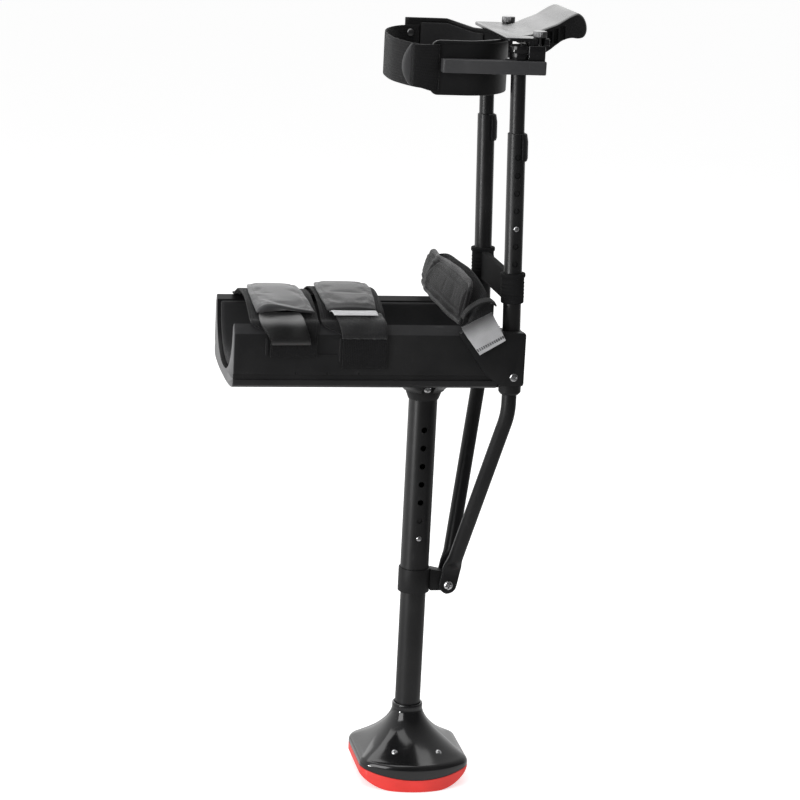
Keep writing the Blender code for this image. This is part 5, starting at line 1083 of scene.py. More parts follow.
def thigh_bracket(name, side):
    """A rounded bar and block, with the upstand and the glossy ring round the inner tube as its own piece."""

    def bores(low):
        post = drill(post_at(780.0, side), post_at(835.0, side), THIGH_R + GAP, 64)
        return [post, drill((KNOB_X, side * POST_Y, low), (KNOB_X, side * POST_Y, 830.0), 2.6, 32)]

    bar = [(-16.0, 77.0), (54.0, 77.0), (54.0, 64.0), (93.5, 64.0), (93.5, 90.0), (-16.0, 90.0)]
    outline = softened(np.array(bar) * (1.0, side), 3.0)
    made = slab(f"thigh_bar_{name}", outline, 796.0, 810.0, "xy", 1.2)
    boolean(made, bores(805.0))
    stand = side_slab(f"thigh_socket_{name}", side, (74.5, 92.9), (66.5, 84.0), (809.5, 825.5), 2.0, 0.9)
    profile = [(8.8, 0.0), (9.6, 0.5), (10.0, 1.6), (10.0, 7.6), (9.7, 8.4), (9.7, 8.8), (11.0, 9.1),
               (11.3, 9.8), (11.3, 15.2), (10.9, 16.2), (9.9, 16.8)]
    ring = turned("ring", profile, post_at(808.6, side), POST_UP, 72)
    boolean(stand, [ring], "UNION")
    boolean(stand, bores(800.0))
    return made, stand


GRIP = np.array((
    (72.0, 832.6), (85.3, 834.6), (98.8, 840.6), (111.3, 845.6), (118.5, 850.0), (126.7, 855.0),
    (133.5, 857.2), (139.5, 853.5), (143.2, 846.5), (144.0, 839.0), (141.5, 833.0), (136.0, 831.0),
    (129.2, 831.4), (122.9, 830.2), (116.6, 827.0), (110.4, 822.6), (104.2, 817.5), (98.3, 814.5),
    (92.0, 815.2), (88.0, 820.0), (82.0, 827.5), (74.0, 829.6)))


def grip_grid():
    """The palm part: one closed S-shaped outline along Y, drawn in by a quarter circle at each end."""
    half, roll = 53.0, 6.0
    closed = np.vstack([GRIP[-2:], GRIP, GRIP[:2]])
    line = spline(closed, 12 * (len(closed) - 1) + 1)[24:-13]
    line = even(line, 200, closed=True)
    ends = [(half - roll * (1.0 - math.cos(a)), -roll * (1.0 - math.sin(a))) for a in quarter(9)]
    stations = [(-y, inset) for y, inset in ends]
    stations += [(y, 0.0) for y in np.linspace(-46.0, 46.0, 25)[1:-1]]
    stations += ends[::-1]
    middle = line.mean(axis=0)
    reach = np.linalg.norm(GRIP - GRIP.mean(axis=0), axis=1).max()
    rows = []
    for y, inset in stations:
        flat = line + (line - middle) * (inset / reach)
        rows.append(np.insert(flat, 1, np.full(len(flat), y), axis=1))
    return np.array(rows)


def handle():
    """Palm part on its wider flange, with thumb-screw pads, open notches and the ribbed end pockets."""
    made = skin("palm_grip", grip_grid(), capped=True, corner=40.0)
    parts = [slab("flange", box_outline((52.0, -82.0), (98.0, 82.0), 6.0), 829.4, 833.0, "xy", 0.9)]
    tools = []
    for side in (-1.0, 1.0):
        parts.append(side_slab("pad", side, (74.5, 97.0), (65.5, 81.5), (825.8, 832.0), 1.2, 0.5))
        tools.append(side_slab("notch", side, (84.3, 91.7), (70.3, 90.0), (815.0, 833.4), 1.0, 0.001))
        for start, end in ((101.0, 106.2), (107.8, 112.7), (114.3, 120.0)):
            outline = box_outline((start, 826.0), (end, 838.0 + (start - 101.0) * 0.45), 0.8)
            tools.append(slab("pocket", outline, *side_span(side, 48.0, 60.0), edge=0.001))
    boolean(made, parts, "UNION", 34.0)
    return boolean(made, tools, "DIFFERENCE", 34.0)


def knob_grid(side):
    """Knurled head and stud: the head's radius falls by 0.45 mm in every V groove round it."""
    groove = 0.45
    angle = circle(144)
    cut = groove - groove * np.abs(np.sin(angle * 12.0)) ** 0.7
    rows = []
    for z, radius, share in ((808.0, 1.9, 0.0), (808.5, 2.3, 0.0), (833.3, 2.3, 0.0), (833.3, 6.3, 0.0),
                             (833.5, 6.7, 0.6), (834.1, 7.25, 1.0), (839.2, 7.25, 1.0), (839.8, 6.9, 0.7),
                             (840.1, 6.4, 0.0), (840.2, 5.6, 0.0), (840.0, 3.2, 0.0), (839.9, 0.2, 0.0)):
        reach = radius - cut * share
        rows.append(np.stack([KNOB_X + np.cos(angle) * reach, side * POST_Y + np.sin(angle) * reach,
                              np.full(len(angle), z)], axis=1))
    return np.array(rows)


class CRUTCH_OT_brackets(bpy.types.Operator):
    """Knee brackets, ribbed crossbar, thigh brackets, palm grip and its two thumb screws"""

    bl_idname = "crutch.brackets"
    bl_label = "Brackets and grip"

    def execute(self, context):
        finish(crossbar(), "frame", "matt plastic", "black_plastic", "crossbar")
        for name, side in SIDES:
            dress_node(f"knee_bracket_{name}", "moulded plastic", 0.7)
            bar, stand = thigh_bracket(name, side)
            finish(bar, "thigh_frame", "bar plastic", "black_plastic", f"thigh_bracket_{name}")
            finish(stand, "thigh_frame", "gloss plastic", "gloss_plastic")
            screw = skin(f"thumb_screw_{name}", knob_grid(side), capped=True, corner=30.0)
            finish(screw, f"knob_{name}", "dark steel", "bright_steel", f"knob_{name}")
        finish(handle(), "thigh_frame", "grip plastic", "gloss_plastic", "handle")
        return {"FINISHED"}


# Cloth and webbing


def edge_profile(share, power=9.0):
    """1 in the middle of a band and 0 at both of its edges, along a superellipse."""
    return (1.0 - np.abs(2.0 * share - 1.0) ** power) ** (1.0 / power)


def band_shares(steps):
    """Shares of a band's width, closer together towards its edges: half of 1 - cos of even angles."""
    return (1.0 - np.cos(np.linspace(0.0, np.pi, steps + 1))) / 2.0


def ribbon_grid(low, high, thickness, lift=None, steps=14, power=9.0):
    """Sections of a band between two edge lines: a flat superellipse, half the thickness to either side.

    The normal at each row is the cross product of the band's width and its run, and lift moves a point
    along it by a number that depends on the row's share of the length and the point's share of the width.
    """
    normal = unit(np.cross(unit(high - low), unit(np.gradient((low + high) / 2.0, axis=0))))
    share = band_shares(steps)[None]
    run = np.linspace(0.0, 1.0, len(low))[:, None]
    blank = np.zeros((len(low), steps + 1))
    thick = blank + (thickness(run, share) if callable(thickness) else thickness)
    half = thick * edge_profile(share, power) / 2.0
    raised = blank + (lift(run, share) if lift is not None else 0.0)
    middle = low[:, None] + (high - low)[:, None] * share[..., None]
    top, bottom = [middle + normal[:, None] * (raised + turn * half)[..., None] for turn in (1.0, -1.0)]
    return np.concatenate([top, bottom[:, -2:0:-1]], axis=1)


def closed_ribbon(name, low, high, thickness, lift=None, steps=14, power=9.0):
    """A band whose first and last rows are drawn in, so that its ends are rolled as well."""
    grid = ribbon_grid(low, high, thickness, lift, steps, power)
    flat = ribbon_grid(low, high, 0.0, lift, steps, power)
    for row in (0, -1):
        grid[row] = flat[row] + (grid[row] - flat[row]) * 0.35
    return skin(name, grid, capped=True, corner=55.0)


def puff(made, pinned, cap, growth):
    """Cloth simulation of a closed pad: air pressure swells it between the pinned seams.

    The fabric is let grow by a share so that it puckers; no point moves further than the cap.
    """
    frames = 18
    mesh = made.data
    rest = np.zeros(len(mesh.vertices) * 3)
    mesh.vertices.foreach_get("co", rest)
    group = made.vertex_groups.new(name="seams")
    group.add([int(k) for k in np.flatnonzero(pinned)], 1.0, "REPLACE")
    cloth = made.modifiers.new("cloth", "CLOTH")
    settings = {"quality": 5, "mass": 0.2, "tension_stiffness": 22.0, "compression_stiffness": 22.0,
                "shear_stiffness": 8.0, "bending_stiffness": 0.6, "use_pressure": True,
                "uniform_pressure_force": 1.2, "shrink_min": -growth, "vertex_group_mass": "seams",
                "pin_stiffness": 1.0}
    for key, value in settings.items():
        setattr(cloth.settings, key, value)
    cloth.settings.effector_weights.gravity = 0.0
    cloth.collision_settings.use_collision = False
    cloth.collision_settings.use_self_collision = False
    cloth.point_cache.frame_start = 1
    cloth.point_cache.frame_end = frames
    scene = bpy.context.scene
    for number in range(1, frames + 1):
        scene.frame_set(number)
    worked = made.evaluated_get(bpy.context.evaluated_depsgraph_get())
    moved = np.zeros(len(rest))
    worked.data.vertices.foreach_get("co", moved)
    made.modifiers.clear()
    scene.frame_set(1)
    shift = (moved - rest).reshape(-1, 3)
    length = np.linalg.norm(shift, axis=1, keepdims=True)
    shift *= np.minimum(1.0, cap * MM / np.maximum(length, 1e-9))
    mesh.vertices.foreach_set("co", (rest.reshape(-1, 3) + shift).ravel())
    mesh.update()


def refine(made):
    """One round of Catmull-Clark subdivision, kept as plain faces."""
    modifier = made.modifiers.new("fine", "SUBSURF")
    modifier.levels = 1
    modifier.render_levels = 1
    settle(made, 60.0)


def stitch_row(name, line, out, pitch=3.0, length=2.2, radius=0.22, body="frame", material="thread"):
    """Thread stitches along a line: short six-sided bars, each bowed so that both of its ends sink in."""
    line, out = np.asarray(line, float), np.asarray(out, float)
    count = max(int(np.linalg.norm(np.diff(line, axis=0), axis=1).sum() / pitch), 2)
    spots = even(line, count)
    normals = unit(even(out, count) if out.ndim == 2 else np.tile(out, (count, 1)))
    along = unit(np.gradient(spots, axis=0))
    side = np.cross(along, normals)
    t = np.linspace(-1.0, 1.0, 6)
    turn = circle(6)[:, None]
    reach = along[:, None] * (t * length / 2.0)[None, :, None]
    bow = normals[:, None] * (radius * (1.0 - 1.6 * t ** 2))[None, :, None]
    thick = radius * np.sqrt(1.0 - (t * 0.93) ** 2)
    ring = side[:, None, None] * np.cos(turn) + normals[:, None, None] * np.sin(turn)
    points = spots[:, None, None] + (reach + bow)[:, :, None] + ring * thick[None, :, None, None]
    index = np.arange(len(t) * len(turn)).reshape(len(t), len(turn))
    beside = np.roll(index, -1, 1)
    quads = np.stack([index[:-1], beside[:-1], beside[1:], index[1:]], -1).reshape(-1, 4)
    faces = []
    for base in range(0, count * index.size, index.size):
        faces += (quads + base).tolist() + [(index[0][::-1] + base).tolist(), (index[-1] + base).tolist()]
    mesh = bpy.data.meshes.new(name)
    mesh.from_pydata((points.reshape(-1, 3) * MM).tolist(), [], faces)
    bm = bmesh.new()
    bm.from_mesh(mesh)
    bmesh.ops.recalc_face_normals(bm, faces=bm.faces)
    bm.to_mesh(mesh)
    bm.free()
    layer = mesh.uv_layers.new(name="UVMap")
    place = np.zeros(len(mesh.loops), np.int32)
    mesh.loops.foreach_get("vertex_index", place)
    layer.data.foreach_set("uv", (points.reshape(-1, 3)[place][:, :2] * MM).ravel())
    finish_mesh(mesh, 60.0)
    return finish(object_of(name, mesh), body, material, "dark_webbing")


def cloth_band(name, edges, thickness, lift, steps, material, held, rests, *replaced, body="frame"):
    """A finished band between two edge lines; its flat length and width are worked out from them but not used.
    """
    low, high = edges
    made = closed_ribbon(name, low, high, thickness, lift, steps)
    finish(made, body, material, "dark_webbing", *replaced)
    length = np.linalg.norm(np.diff((low + high) / 2.0, axis=0), axis=1)
    width = np.linalg.norm(high - low, axis=1)


STRAPS = {
    "rear": {"hang": (-182.0, -133.0), "top": (-203.0, -130.5), "bottom": 495.0, "crown": 547.0, "wave": 1.0},
    "front": {"hang": (-106.0, -58.5), "top": (-128.0, -59.0), "bottom": 483.0, "crown": 550.0, "wave": 0.7},
}
STRAP_THICK = 2.2

# Calf pads: X of the two long edges at the near end, the crown and the far end; lift of the near end; cloth
PADS = {
    "rear": {"low": (-195.0, -197.0, -186.5), "high": (-133.5, -141.0, -141.0), "lift": 0.6,
             "cloth": "satin cloth"},
    # The front pad wears the darker satin, painted shade
    "front": {"low": (-121.5, -124.5, -113.5), "high": (-69.5, -65.5, -66.0), "lift": 4.2,
              "cloth": "satin front"},
}

# Folded ends below the pads: rows of (y, low x, low z, high x, high z)
FOLDS = {
    "rear": ((-60.0, -192.0, 536.6, -150.0, 536.6), (-68.0, -193.5, 536.6, -149.0, 536.8),
             (-76.0, -194.0, 535.0, -147.5, 535.4), (-83.0, -193.5, 531.2, -146.5, 531.8),
             (-88.5, -190.0, 525.2, -144.5, 525.8), (-90.5, -185.5, 518.5, -142.5, 519.0),
             (-90.0, -182.5, 513.0, -141.0, 513.5), (-88.2, -181.5, 509.0, -140.0, 509.5)),
    "front": ((-62.0, -112.0, 538.0, -63.0, 538.0), (-70.0, -112.0, 536.6, -62.0, 536.6),
              (-78.0, -111.0, 533.6, -61.0, 533.6), (-84.5, -109.5, 528.2, -60.0, 528.2),
              (-87.0, -108.0, 521.5, -59.5, 521.5), (-87.0, -107.5, 516.0, -59.5, 516.0)),
}
TAPE_ROWS = ((-61.0, -118.0, 539.4, -69.5, 539.4), (-66.5, -117.5, 541.6, -69.5, 541.6),
             (-71.5, -117.0, 542.0, -69.0, 542.0), (-75.0, -115.5, 540.2, -68.5, 540.2),
             (-76.2, -115.0, 538.8, -68.2, 538.8))


def strap_line(strap, count=121):
    """Section of a calf strap in Y and Z: up the near wall, over both rims with a low crown, and down."""
    bottom, crown = strap["bottom"], strap["crown"]
    out = TRAY_HALF + 1.0 + GAP + STRAP_THICK / 2.0
    over = TRAY_TOP + GAP + STRAP_THICK / 2.0
    half = [(out, bottom), (out, (bottom + SHOULDER) / 2.0), (out, 516.0), (out - 1.5, 523.5),
            (78.0, over + 0.3), (68.0, over + 1.8), (56.0, crown - 10.5), (32.0, crown - 3.5)]
    return spline([(-y, z) for y, z in half] + [(0.0, crown)] + half[::-1], count)


def strap_edges(strap, line):
    """The strap's two edge lines: its width eases from the hanging part to the wider part over the rims."""
    share = smooth_step(line[:, 1], 517.0, 531.0)
    edges = [lerp(strap["hang"][k], strap["top"][k], share) for k in (0, 1)]
    return [np.column_stack([x, line]) for x in edges]


def calf_strap(name):
    """The wide strap over the tray, with a row of stitches along each of its edges."""
    strap = STRAPS[name]
    line = strap_line(strap)
    low, high = strap_edges(strap, line)

    def lift(run, share):
        sag = -0.5 * np.sin(run * 47.0) * np.sin(share * 5.0 + run * 9.0)
        return sag * strap["wave"] * smooth_step(np.abs(run - 0.5), 0.22, 0.05)

    cloth_band(f"calf_webbing_{name}", (low, high), STRAP_THICK, lift, 20, "webbing", "stretched",
               ["tray_moulding"], f"calf_strap_{name}")
    pick = slice(4, 118)
    slope = np.gradient(line, axis=0)[pick]
    out = np.column_stack([np.zeros(len(slope)), -slope[:, 1], slope[:, 0]])
    out = unit(out * np.where(out[:, 2:3] < 0.0, -1.0, 1.0))
    for end, edge in (("lower", 0.045), ("upper", 0.955)):
        spots = lerp(low, high, edge)[pick] + out * (STRAP_THICK / 2.0)
        stitch_row(f"calf_stitches_{name}_{end}", spots, out)


def calf_fold(name, thickness, material):
    """The strap's free end, folded back over it outside the near rim, where it bows out."""

    def lift(run, share):
        return 0.5 * np.sin(share * 9.0 + run * 4.0) * np.sin(np.pi * run) - 0.35 * np.sin(run * 17.0)

    cloth_band(f"calf_fold_{name}", edges_from(FOLDS[name], 61), thickness, lift, 18, material, "folded",
               [f"calf_webbing_{name}"])


def calf_tape():
    """Strip of hook tape that looks out below the near end of the front pad, in a lighter copy of the tape:
    painted highlight where its edge catches the light.
    """
    cloth_band("calf_tape_front", edges_from(TAPE_ROWS, 31), 1.3, None, 14, "pale tape", "folded",
               ["calf_webbing_front"])


def pad_edges(name):
    """Edge lines of a calf pad a little above the strap; each long edge bends at the crown."""
    half = 65.0
    line = strap_line(STRAPS[name], 401)
    keep = (np.abs(line[:, 0]) < half) & (line[:, 1] > TRAY_TOP)
    line = even(line[keep], 61) + (0.0, STRAP_THICK / 2.0 + GAP + 1.9)
    t = line[:, 0] / half
    edges = []
    for key in ("low", "high"):
        near, middle, far = PADS[name][key]
        x = middle + (far - near) / 2.0 * t + ((far + near) / 2.0 - middle) * t ** 2
        edges.append(np.column_stack([x, line]))
    return edges


def seam_mask(run, share, width, length, inset):
    """How near a point lies to the sewn line round a pad, a fixed distance inside its edges, and to those."""
    nearest = np.minimum(np.minimum(share, 1.0 - share) * width, np.minimum(run, 1.0 - run) * length)
    return np.exp(-((nearest - inset) / 1.1) ** 2), nearest


def band_places(rows, steps):
    """Run and share of every point of a band's grid, under side too."""
    share = band_shares(steps)
    return np.linspace(0.0, 1.0, rows)[:, None], np.r_[share, share[-2:0:-1]][None]


def calf_pad(name):
    """A thin satin flap with a hem round it; its near end stands off the strap in a low arch.

    The arch over the near edge is h e^(1 - h) of h = share / 0.216 at the rear, and a half sine in front.
    """
    low, high = pad_edges(name)
    width, length = float(np.linalg.norm(high[30] - low[30])), 132.0
    hem, steps = 4.6, 26

    def thickness(run, share):
        seam, nearest = seam_mask(run, share, width, length, hem)
        return 3.4 * (0.7 + 0.3 * smooth_step(nearest, 0.0, 2.5)) - 0.8 * seam

    def lift(run, share):
        _, nearest = seam_mask(run, share, width, length, hem)
        bow = share / 0.216
        arch = 8.6 * bow * np.exp(1.0 - bow) if name == "rear" else 2.4 * np.sin(np.pi * share)
        raised = (arch + PADS[name]["lift"]) * np.exp(-(run * length / 24.0) ** 1.6)
        ripple = 0.4 * np.sin(run * 27.0 + share * 3.0) * np.exp(-nearest / 8.0)
        return 0.5 + 0.7 * (1.0 - (2.0 * share - 1.0) ** 2) + raised + ripple

    grid = ribbon_grid(low, high, thickness, lift, steps, 7.0)
    made = skin(f"calf_cushion_{name}", grid, capped=True, corner=60.0)
    run, share = band_places(len(low), steps)
    seam, nearest = seam_mask(run, share, width, length, hem)
    puff(made, ((seam > 0.35) | (nearest < 1.2)).ravel(), 1.0, 0.012)
    refine(made)
    finish(made, "frame", PADS[name]["cloth"], "grey_satin", f"calf_pad_{name}")
    rows = slice(3, len(low) - 3)
    out = unit(np.cross(high[rows] - low[rows], np.gradient(low, axis=0)[rows]))
    for end, edge in (("rear", hem / width), ("front", 1.0 - hem / width)):
        column = int(np.abs(share[0, :steps] - edge).argmin())
        stitch_row(f"calf_pad_seam_{name}_{end}", grid[rows, column] + out * 0.05, out, 2.4, 1.8, 0.16,
                   material="satin binding")


KNEE_PAD_ROWS = (
    (82.0, 12.0, 547.0, 18.5, 577.0), (73.0, 8.0, 544.0, 19.0, 583.0), (45.0, 6.0, 541.0, 21.5, 580.5),
    (15.0, 7.0, 538.0, 24.0, 581.5), (-15.0, 10.0, 535.0, 26.5, 581.5), (-45.0, 14.5, 531.2, 29.0, 580.0),
    (-68.0, 18.0, 529.6, 30.5, 577.0), (-78.0, 19.5, 530.0, 29.5, 571.0))
KNEE_STRAP_ROWS = (
    (83.5, 14.7, 546.0, 22.7, 575.0), (66.0, 20.0, 545.0, 33.0, 579.0), (20.0, 23.0, 542.0, 37.0, 579.5),
    (-20.0, 26.0, 538.0, 40.5, 578.5), (-55.0, 30.0, 535.0, 44.0, 572.0), (-76.0, 29.0, 533.0, 47.0, 564.0),
    (-83.5, 24.0, 530.0, 50.0, 554.5), (-89.0, 19.5, 528.0, 51.0, 547.0), (-95.0, 19.0, 526.5, 52.0, 542.0),
    (-96.5, 27.5, 515.0, 59.0, 530.0), (-97.0, 37.5, 502.0, 65.0, 518.5))
# The loop above the strap's end, as (x, z) along its arch
KNEE_ARCH = ((18.5, 540.0), (22.0, 547.5), (30.0, 554.5), (39.0, 559.0), (47.0, 559.8), (53.0, 555.5))


def edges_from(rows, count):
    """Two smooth edge lines from rows of (y, low x, low z, high x, high z)."""
    rows = np.array(rows)
    return spline(rows[:, (1, 0, 2)], count), spline(rows[:, (3, 0, 4)], count)


def knee_pad():
    """Quilted pad with a bound edge, a panel seam inside it and a crease where its far part folds.

    The thickness is a half round within 5.4 mm of the edge, and rises again inside that by a smooth step.
    """
    low, high = edges_from(KNEE_PAD_ROWS, 111)
    width, length, crease, steps = 47.0, 168.0, 0.29, 40

    def seams(run, share):
        panel, nearest = seam_mask(run, share, width, length, 12.5)
        bent = run - crease - 0.05 * (share - 0.4) + 0.02 * np.sin(share * 5.0)
        cross = np.exp(-(bent * length / 1.5) ** 2) * smooth_step(nearest, 4.0, 8.0)
        return np.maximum(panel * 0.8, cross), nearest

    def thickness(run, share):
        seam, nearest = seams(run, share)
        binding = 6.0 * np.sqrt(np.clip(1.0 - ((nearest - 2.7) / 2.8) ** 2, 0.0, 1.0))
        body = 3.4 + 5.8 * smooth_step(nearest, 4.6, 11.0) - 3.4 * seam
        return np.maximum(np.where(nearest < 5.5, binding, 0.0), np.where(nearest > 4.4, body, 1.2))

    def lift(run, share):
        _, nearest = seams(run, share)
        fold = -2.2 * np.exp(-((run - crease) / 0.035) ** 2)
        return fold + 0.6 * np.sin(run * 26.0 + share * 4.0) * np.exp(-nearest / 9.0)

    grid = ribbon_grid(low, high, thickness, lift, steps, 5.0)
    made = skin("knee_cushion", grid, capped=True, corner=60.0)
    seam, nearest = seams(*band_places(len(low), steps))
    puff(made, ((seam > 0.35) | (nearest < 5.6)).ravel(), 0.35, 0.002)
    for cloth in ("quilt cloth", "quilt binding"):
        made.data.materials.append(bpy.data.materials[cloth])
    bound = np.zeros(len(made.data.polygons), np.int32)
    bound[:(len(low) - 1) * grid.shape[1]] = (nearest[:-1] < 4.8).ravel()
    made.data.polygons.foreach_set("material_index", bound)
    refine(made)
    settle_piece(made, "frame", "quilted_fabric", "knee_pad")


def knee_strap():
    """The strap in front of the pad, the hook tape stitched on its free end, and the loop above that."""
    low, high = edges_from(KNEE_STRAP_ROWS, 141)

    def lift(run, share):
        return 0.5 * np.sin(run * 24.0) * (2.0 * share - 1.0)

    def crumple(run, share):
        return 0.35 * np.sin(run * 13.0 + share * 4.0) * np.sin(share * 9.0)

    cloth_band("knee_webbing", (low, high), 2.4, lift, 16, "webbing", "folded",
               ["knee_cushion", "tray_moulding"], "knee_strap")
    rise = unit(np.cross(high - low, np.gradient((low + high) / 2.0, axis=0)))
    end = slice(104, 141)
    outward = np.where(rise[:, 1:2] > 0.0, -rise, rise)[end]
    tape_low, tape_high = [lerp(low, high, edge)[end] + outward * 2.3 for edge in (0.01, 0.99)]
    cloth_band("knee_strap_tape", (tape_low, tape_high), 1.4, crumple, 22, "hook tape", "laid",
               ["knee_webbing"])
    for number, back in enumerate((5, 6, 7)):
        row = lerp(tape_low[-back], tape_high[-back], np.linspace(0.04, 0.96, 30)[:, None])
        stitch_row(f"knee_tape_stitches_{number}", row + outward[-back] * 0.8, outward[-back], 2.2, 1.7, 0.4)
    arch = spline(KNEE_ARCH, 61)
    loop = [np.column_stack([arch[:, 0], np.full(61, y), arch[:, 1] + up])
            for y, up in ((-87.5, 1.0), (-98.0, -1.0))]
    cloth_band("knee_strap_loop", loop, 1.9, None, 14, "loop tape", "folded", ["knee_webbing"])


class CRUTCH_OT_calf_straps(bpy.types.Operator):
    """Both calf straps over the tray, their folded free ends and their padded satin panels"""

    bl_idname = "crutch.calf_straps"
    bl_label = "Calf straps and pads"

    def execute(self, context):
        for name in STRAPS:
            calf_strap(name)
            calf_pad(name)
        calf_fold("rear", 2.8, "satin tape")
        calf_fold("front", 1.7, "soft webbing")
        calf_tape()
        return {"FINISHED"}


class CRUTCH_OT_knee_band(bpy.types.Operator):
    """Quilted knee pad and the strap in front of it, with its folded hook-tape end"""

    bl_idname = "crutch.knee_band"
    bl_label = "Knee pad and strap"

    def execute(self, context):
        knee_pad()
        knee_strap()
        return {"FINISHED"}


# Thigh cuff


# Its half ellipse in plan, the half thicknesses of its wall and rim bead, its heights, and the band
CUFF_X = 12.0
CUFF_HALF = 74.0
CUFF_REACH = 56.0
CUFF_WALL = 1.5
CUFF_BEAD = 2.3
CUFF_BOTTOM = 771.5
CUFF_TOP = 832.0
CUFF_FRONT_TOP = 828.5
BAND_THICK = 1.8


def cuff_plan(count):
    """The cuff's plan: straight far side, half an ellipse round the front, straight near side."""
    a = np.linspace(0.0, np.pi, 181)
    arc = np.stack([CUFF_X + CUFF_REACH * np.sin(a), CUFF_HALF * np.cos(a)], axis=1)
    return even(np.vstack([(-26.0, CUFF_HALF), arc, (-26.0, -CUFF_HALF)]), count)


def cuff_top(x, y):
    """Height of the cuff's upper edge: it leans with Y and eases down under the grip's flange."""
    share = np.clip((x - 20.0) / 26.0, 0.0, 1.0)
    side_top = CUFF_TOP + 4.0 * y / CUFF_HALF
    return side_top - (side_top - CUFF_FRONT_TOP) * share


def cuff_shell():
    """Wall with a rim bead carried along the plan, rounded off at both ends, and the slot for the band."""
    plan = cuff_plan(150)
    along = unit(np.gradient(plan, axis=0))
    out = np.stack([-along[:, 1], along[:, 0]], axis=1)
    out *= np.sign((out * (plan - (CUFF_X, 0.0))).sum(axis=1))[:, None]
    half = [(CUFF_WALL, CUFF_BOTTOM), (CUFF_WALL, 828.6), (CUFF_BEAD, 828.6), (CUFF_BEAD, CUFF_TOP)]
    section = softened(half + [(-reach, z) for reach, z in half[::-1]], 1.1, 5)
    rows = []
    for k, spot in enumerate(plan):
        from_end = min(k, len(plan) - 1 - k)
        away = np.linalg.norm(spot - plan[-1])
        turn = 9.0 - math.sqrt(81.0 - min(max(9.0 - away, 0.0), 9.0) ** 2)
        top = float(cuff_top(spot[0], spot[1])) - turn
        narrow = (0.45, 0.85)[from_end] if from_end < 2 else 1.0
        reach = section[:, 0] * narrow
        share = (top - CUFF_BOTTOM - turn) / (CUFF_TOP - CUFF_BOTTOM)
        z = CUFF_BOTTOM + turn + (section[:, 1] - CUFF_BOTTOM) * share
        rows.append(np.column_stack([spot + out[k] * reach[:, None], z]))
    made = skin("cuff_moulding", rows, capped=True, corner=30.0)
    slot = slab("slot", box_outline((-19.6, 776.0), (-16.6, 823.0), 1.4), -79.0, -69.0, edge=0.001)
    return boolean(made, [slot], "DIFFERENCE", 30.0)


def cuff_pad(name, side):
    """A thin foam panel inside one side of the cuff, with a soft edge all round."""
    x = np.r_[np.linspace(-9.0, CUFF_X, 16), np.linspace(CUFF_X, 54.0, 33)[1:]]
    inset = CUFF_BEAD + GAP
    share = np.clip((x - CUFF_X) / (CUFF_REACH - inset), 0.0, 1.0)
    y = (CUFF_HALF - inset) * np.sqrt(1.0 - share ** 2)
    middle = np.column_stack([x, side * (y - 1.25)])
    top = cuff_top(x, np.full(len(x), side * CUFF_HALF)) - 5.0
    low = np.column_stack([middle, np.full(len(x), CUFF_BOTTOM + 5.0)])
    high = np.column_stack([middle, top])
    made = closed_ribbon(f"cuff_foam_{name}", low, high, 2.4, None, 18, 14.0)
    finish(made, "thigh_frame", "liner cloth", "foam", f"cuff_pad_{name}")


def band_line(count):
    """Plan of the elastic band: from the far wall round the rear, through the near slot and folded back."""
    inside = CUFF_HALF - CUFF_BEAD - GAP - BAND_THICK / 2.0
    outside = CUFF_HALF + CUFF_BEAD + GAP + BAND_THICK / 2.0
    slot = -18.0
    points = [(-11.0, inside), (-28.0, inside), (-40.0, 62.0), (-50.0, 46.0), (-56.0, 25.0), (-57.0, 4.0),
              (-55.0, -20.0), (-47.0, -42.0), (-36.0, -60.0), (-25.0, -inside), (slot - 1.2, -inside - 0.8),
              (slot, -CUFF_HALF), (slot - 0.8, -outside + 0.3), (-27.0, -outside - 1.6), (-38.0, -outside - 2.2),
              (-44.5, -outside - 1.2)]
    return even(spline(points, 450), count)


def cuff_band():
    """The band, wider where it is folded back, and the roll of its hem, which bulges at mid height and takes the
    pale satin as painted highlight on the fold.
    """
    plan = band_line(300)
    share = np.linspace(0.0, 1.0, len(plan))
    middle = lerp(806.0, 799.5, np.minimum(share * 1.35, 1.0))
    half = 22.5 + 1.8 * smooth_step(share, 0.76, 0.86)
    end = smooth_step(share, 0.88, 1.0)
    low = np.column_stack([plan, middle - half + 5.0 * end])
    high = np.column_stack([plan, middle + half - 0.5 * end])
    cloth_band("cuff_elastic", (low, high), BAND_THICK, None, 26, "elastic", "stretched", ["cuff_moulding"],
               "cuff_band", body="thigh_frame")
    t = np.linspace(0.0, 1.0, 41)[:, None]
    bulge = np.sin(np.pi * t) ** 0.8
    turn = circle(24)
    reach = 0.7 + 4.6 * bulge
    hem_x = -45.6 - reach + reach * np.cos(turn)
    hem_y = -75.6 - 0.6 * bulge + (0.8 + 1.3 * bulge) * np.sin(turn)
    hem = np.stack([hem_x, hem_y, np.repeat(781.0 + 42.5 * t, len(turn), axis=1)], axis=2)
    # Painted highlight: the roll at the band's fold is pale satin, lighter than the elastic, where the fold
    # catches the light
    roll = skin("cuff_band_hem", hem, capped=True, corner=60.0)
    finish(roll, "thigh_frame", "satin cloth", "dark_webbing")
    y = plan[-32, 1] - 1.0
    for end, z in (("top", 817.5), ("bottom", 781.5)):
        line = [(-40.0, y, z), (-24.0, y + 0.8, z)]
        stitch_row(f"cuff_stitches_{end}", line, (0.0, -1.0, 0.0), 2.8, 2.0, 0.2, "thigh_frame")


def rivet_piece():
    """The rivet's two domed heads on one shank, turned as one profile."""
    inner = CUFF_HALF - CUFF_BEAD - 2 * GAP - BAND_THICK
    span = CUFF_HALF + CUFF_WALL + GAP - inner
    turn = quarter(6)
    low = [(4.0 * math.sin(a) + 0.01, -1.4 + 1.4 * (1.0 - math.cos(a))) for a in turn]
    high = [(4.0 * math.cos(a) + 0.01, span + 1.4 * math.sin(a)) for a in turn]
    profile = low + [(2.0, 0.0), (2.0, span)] + high
    return turned("cuff_rivet", profile, (-20.5, inner, 820.0), (0.0, 1.0, 0.0), 36, corner=40.0)


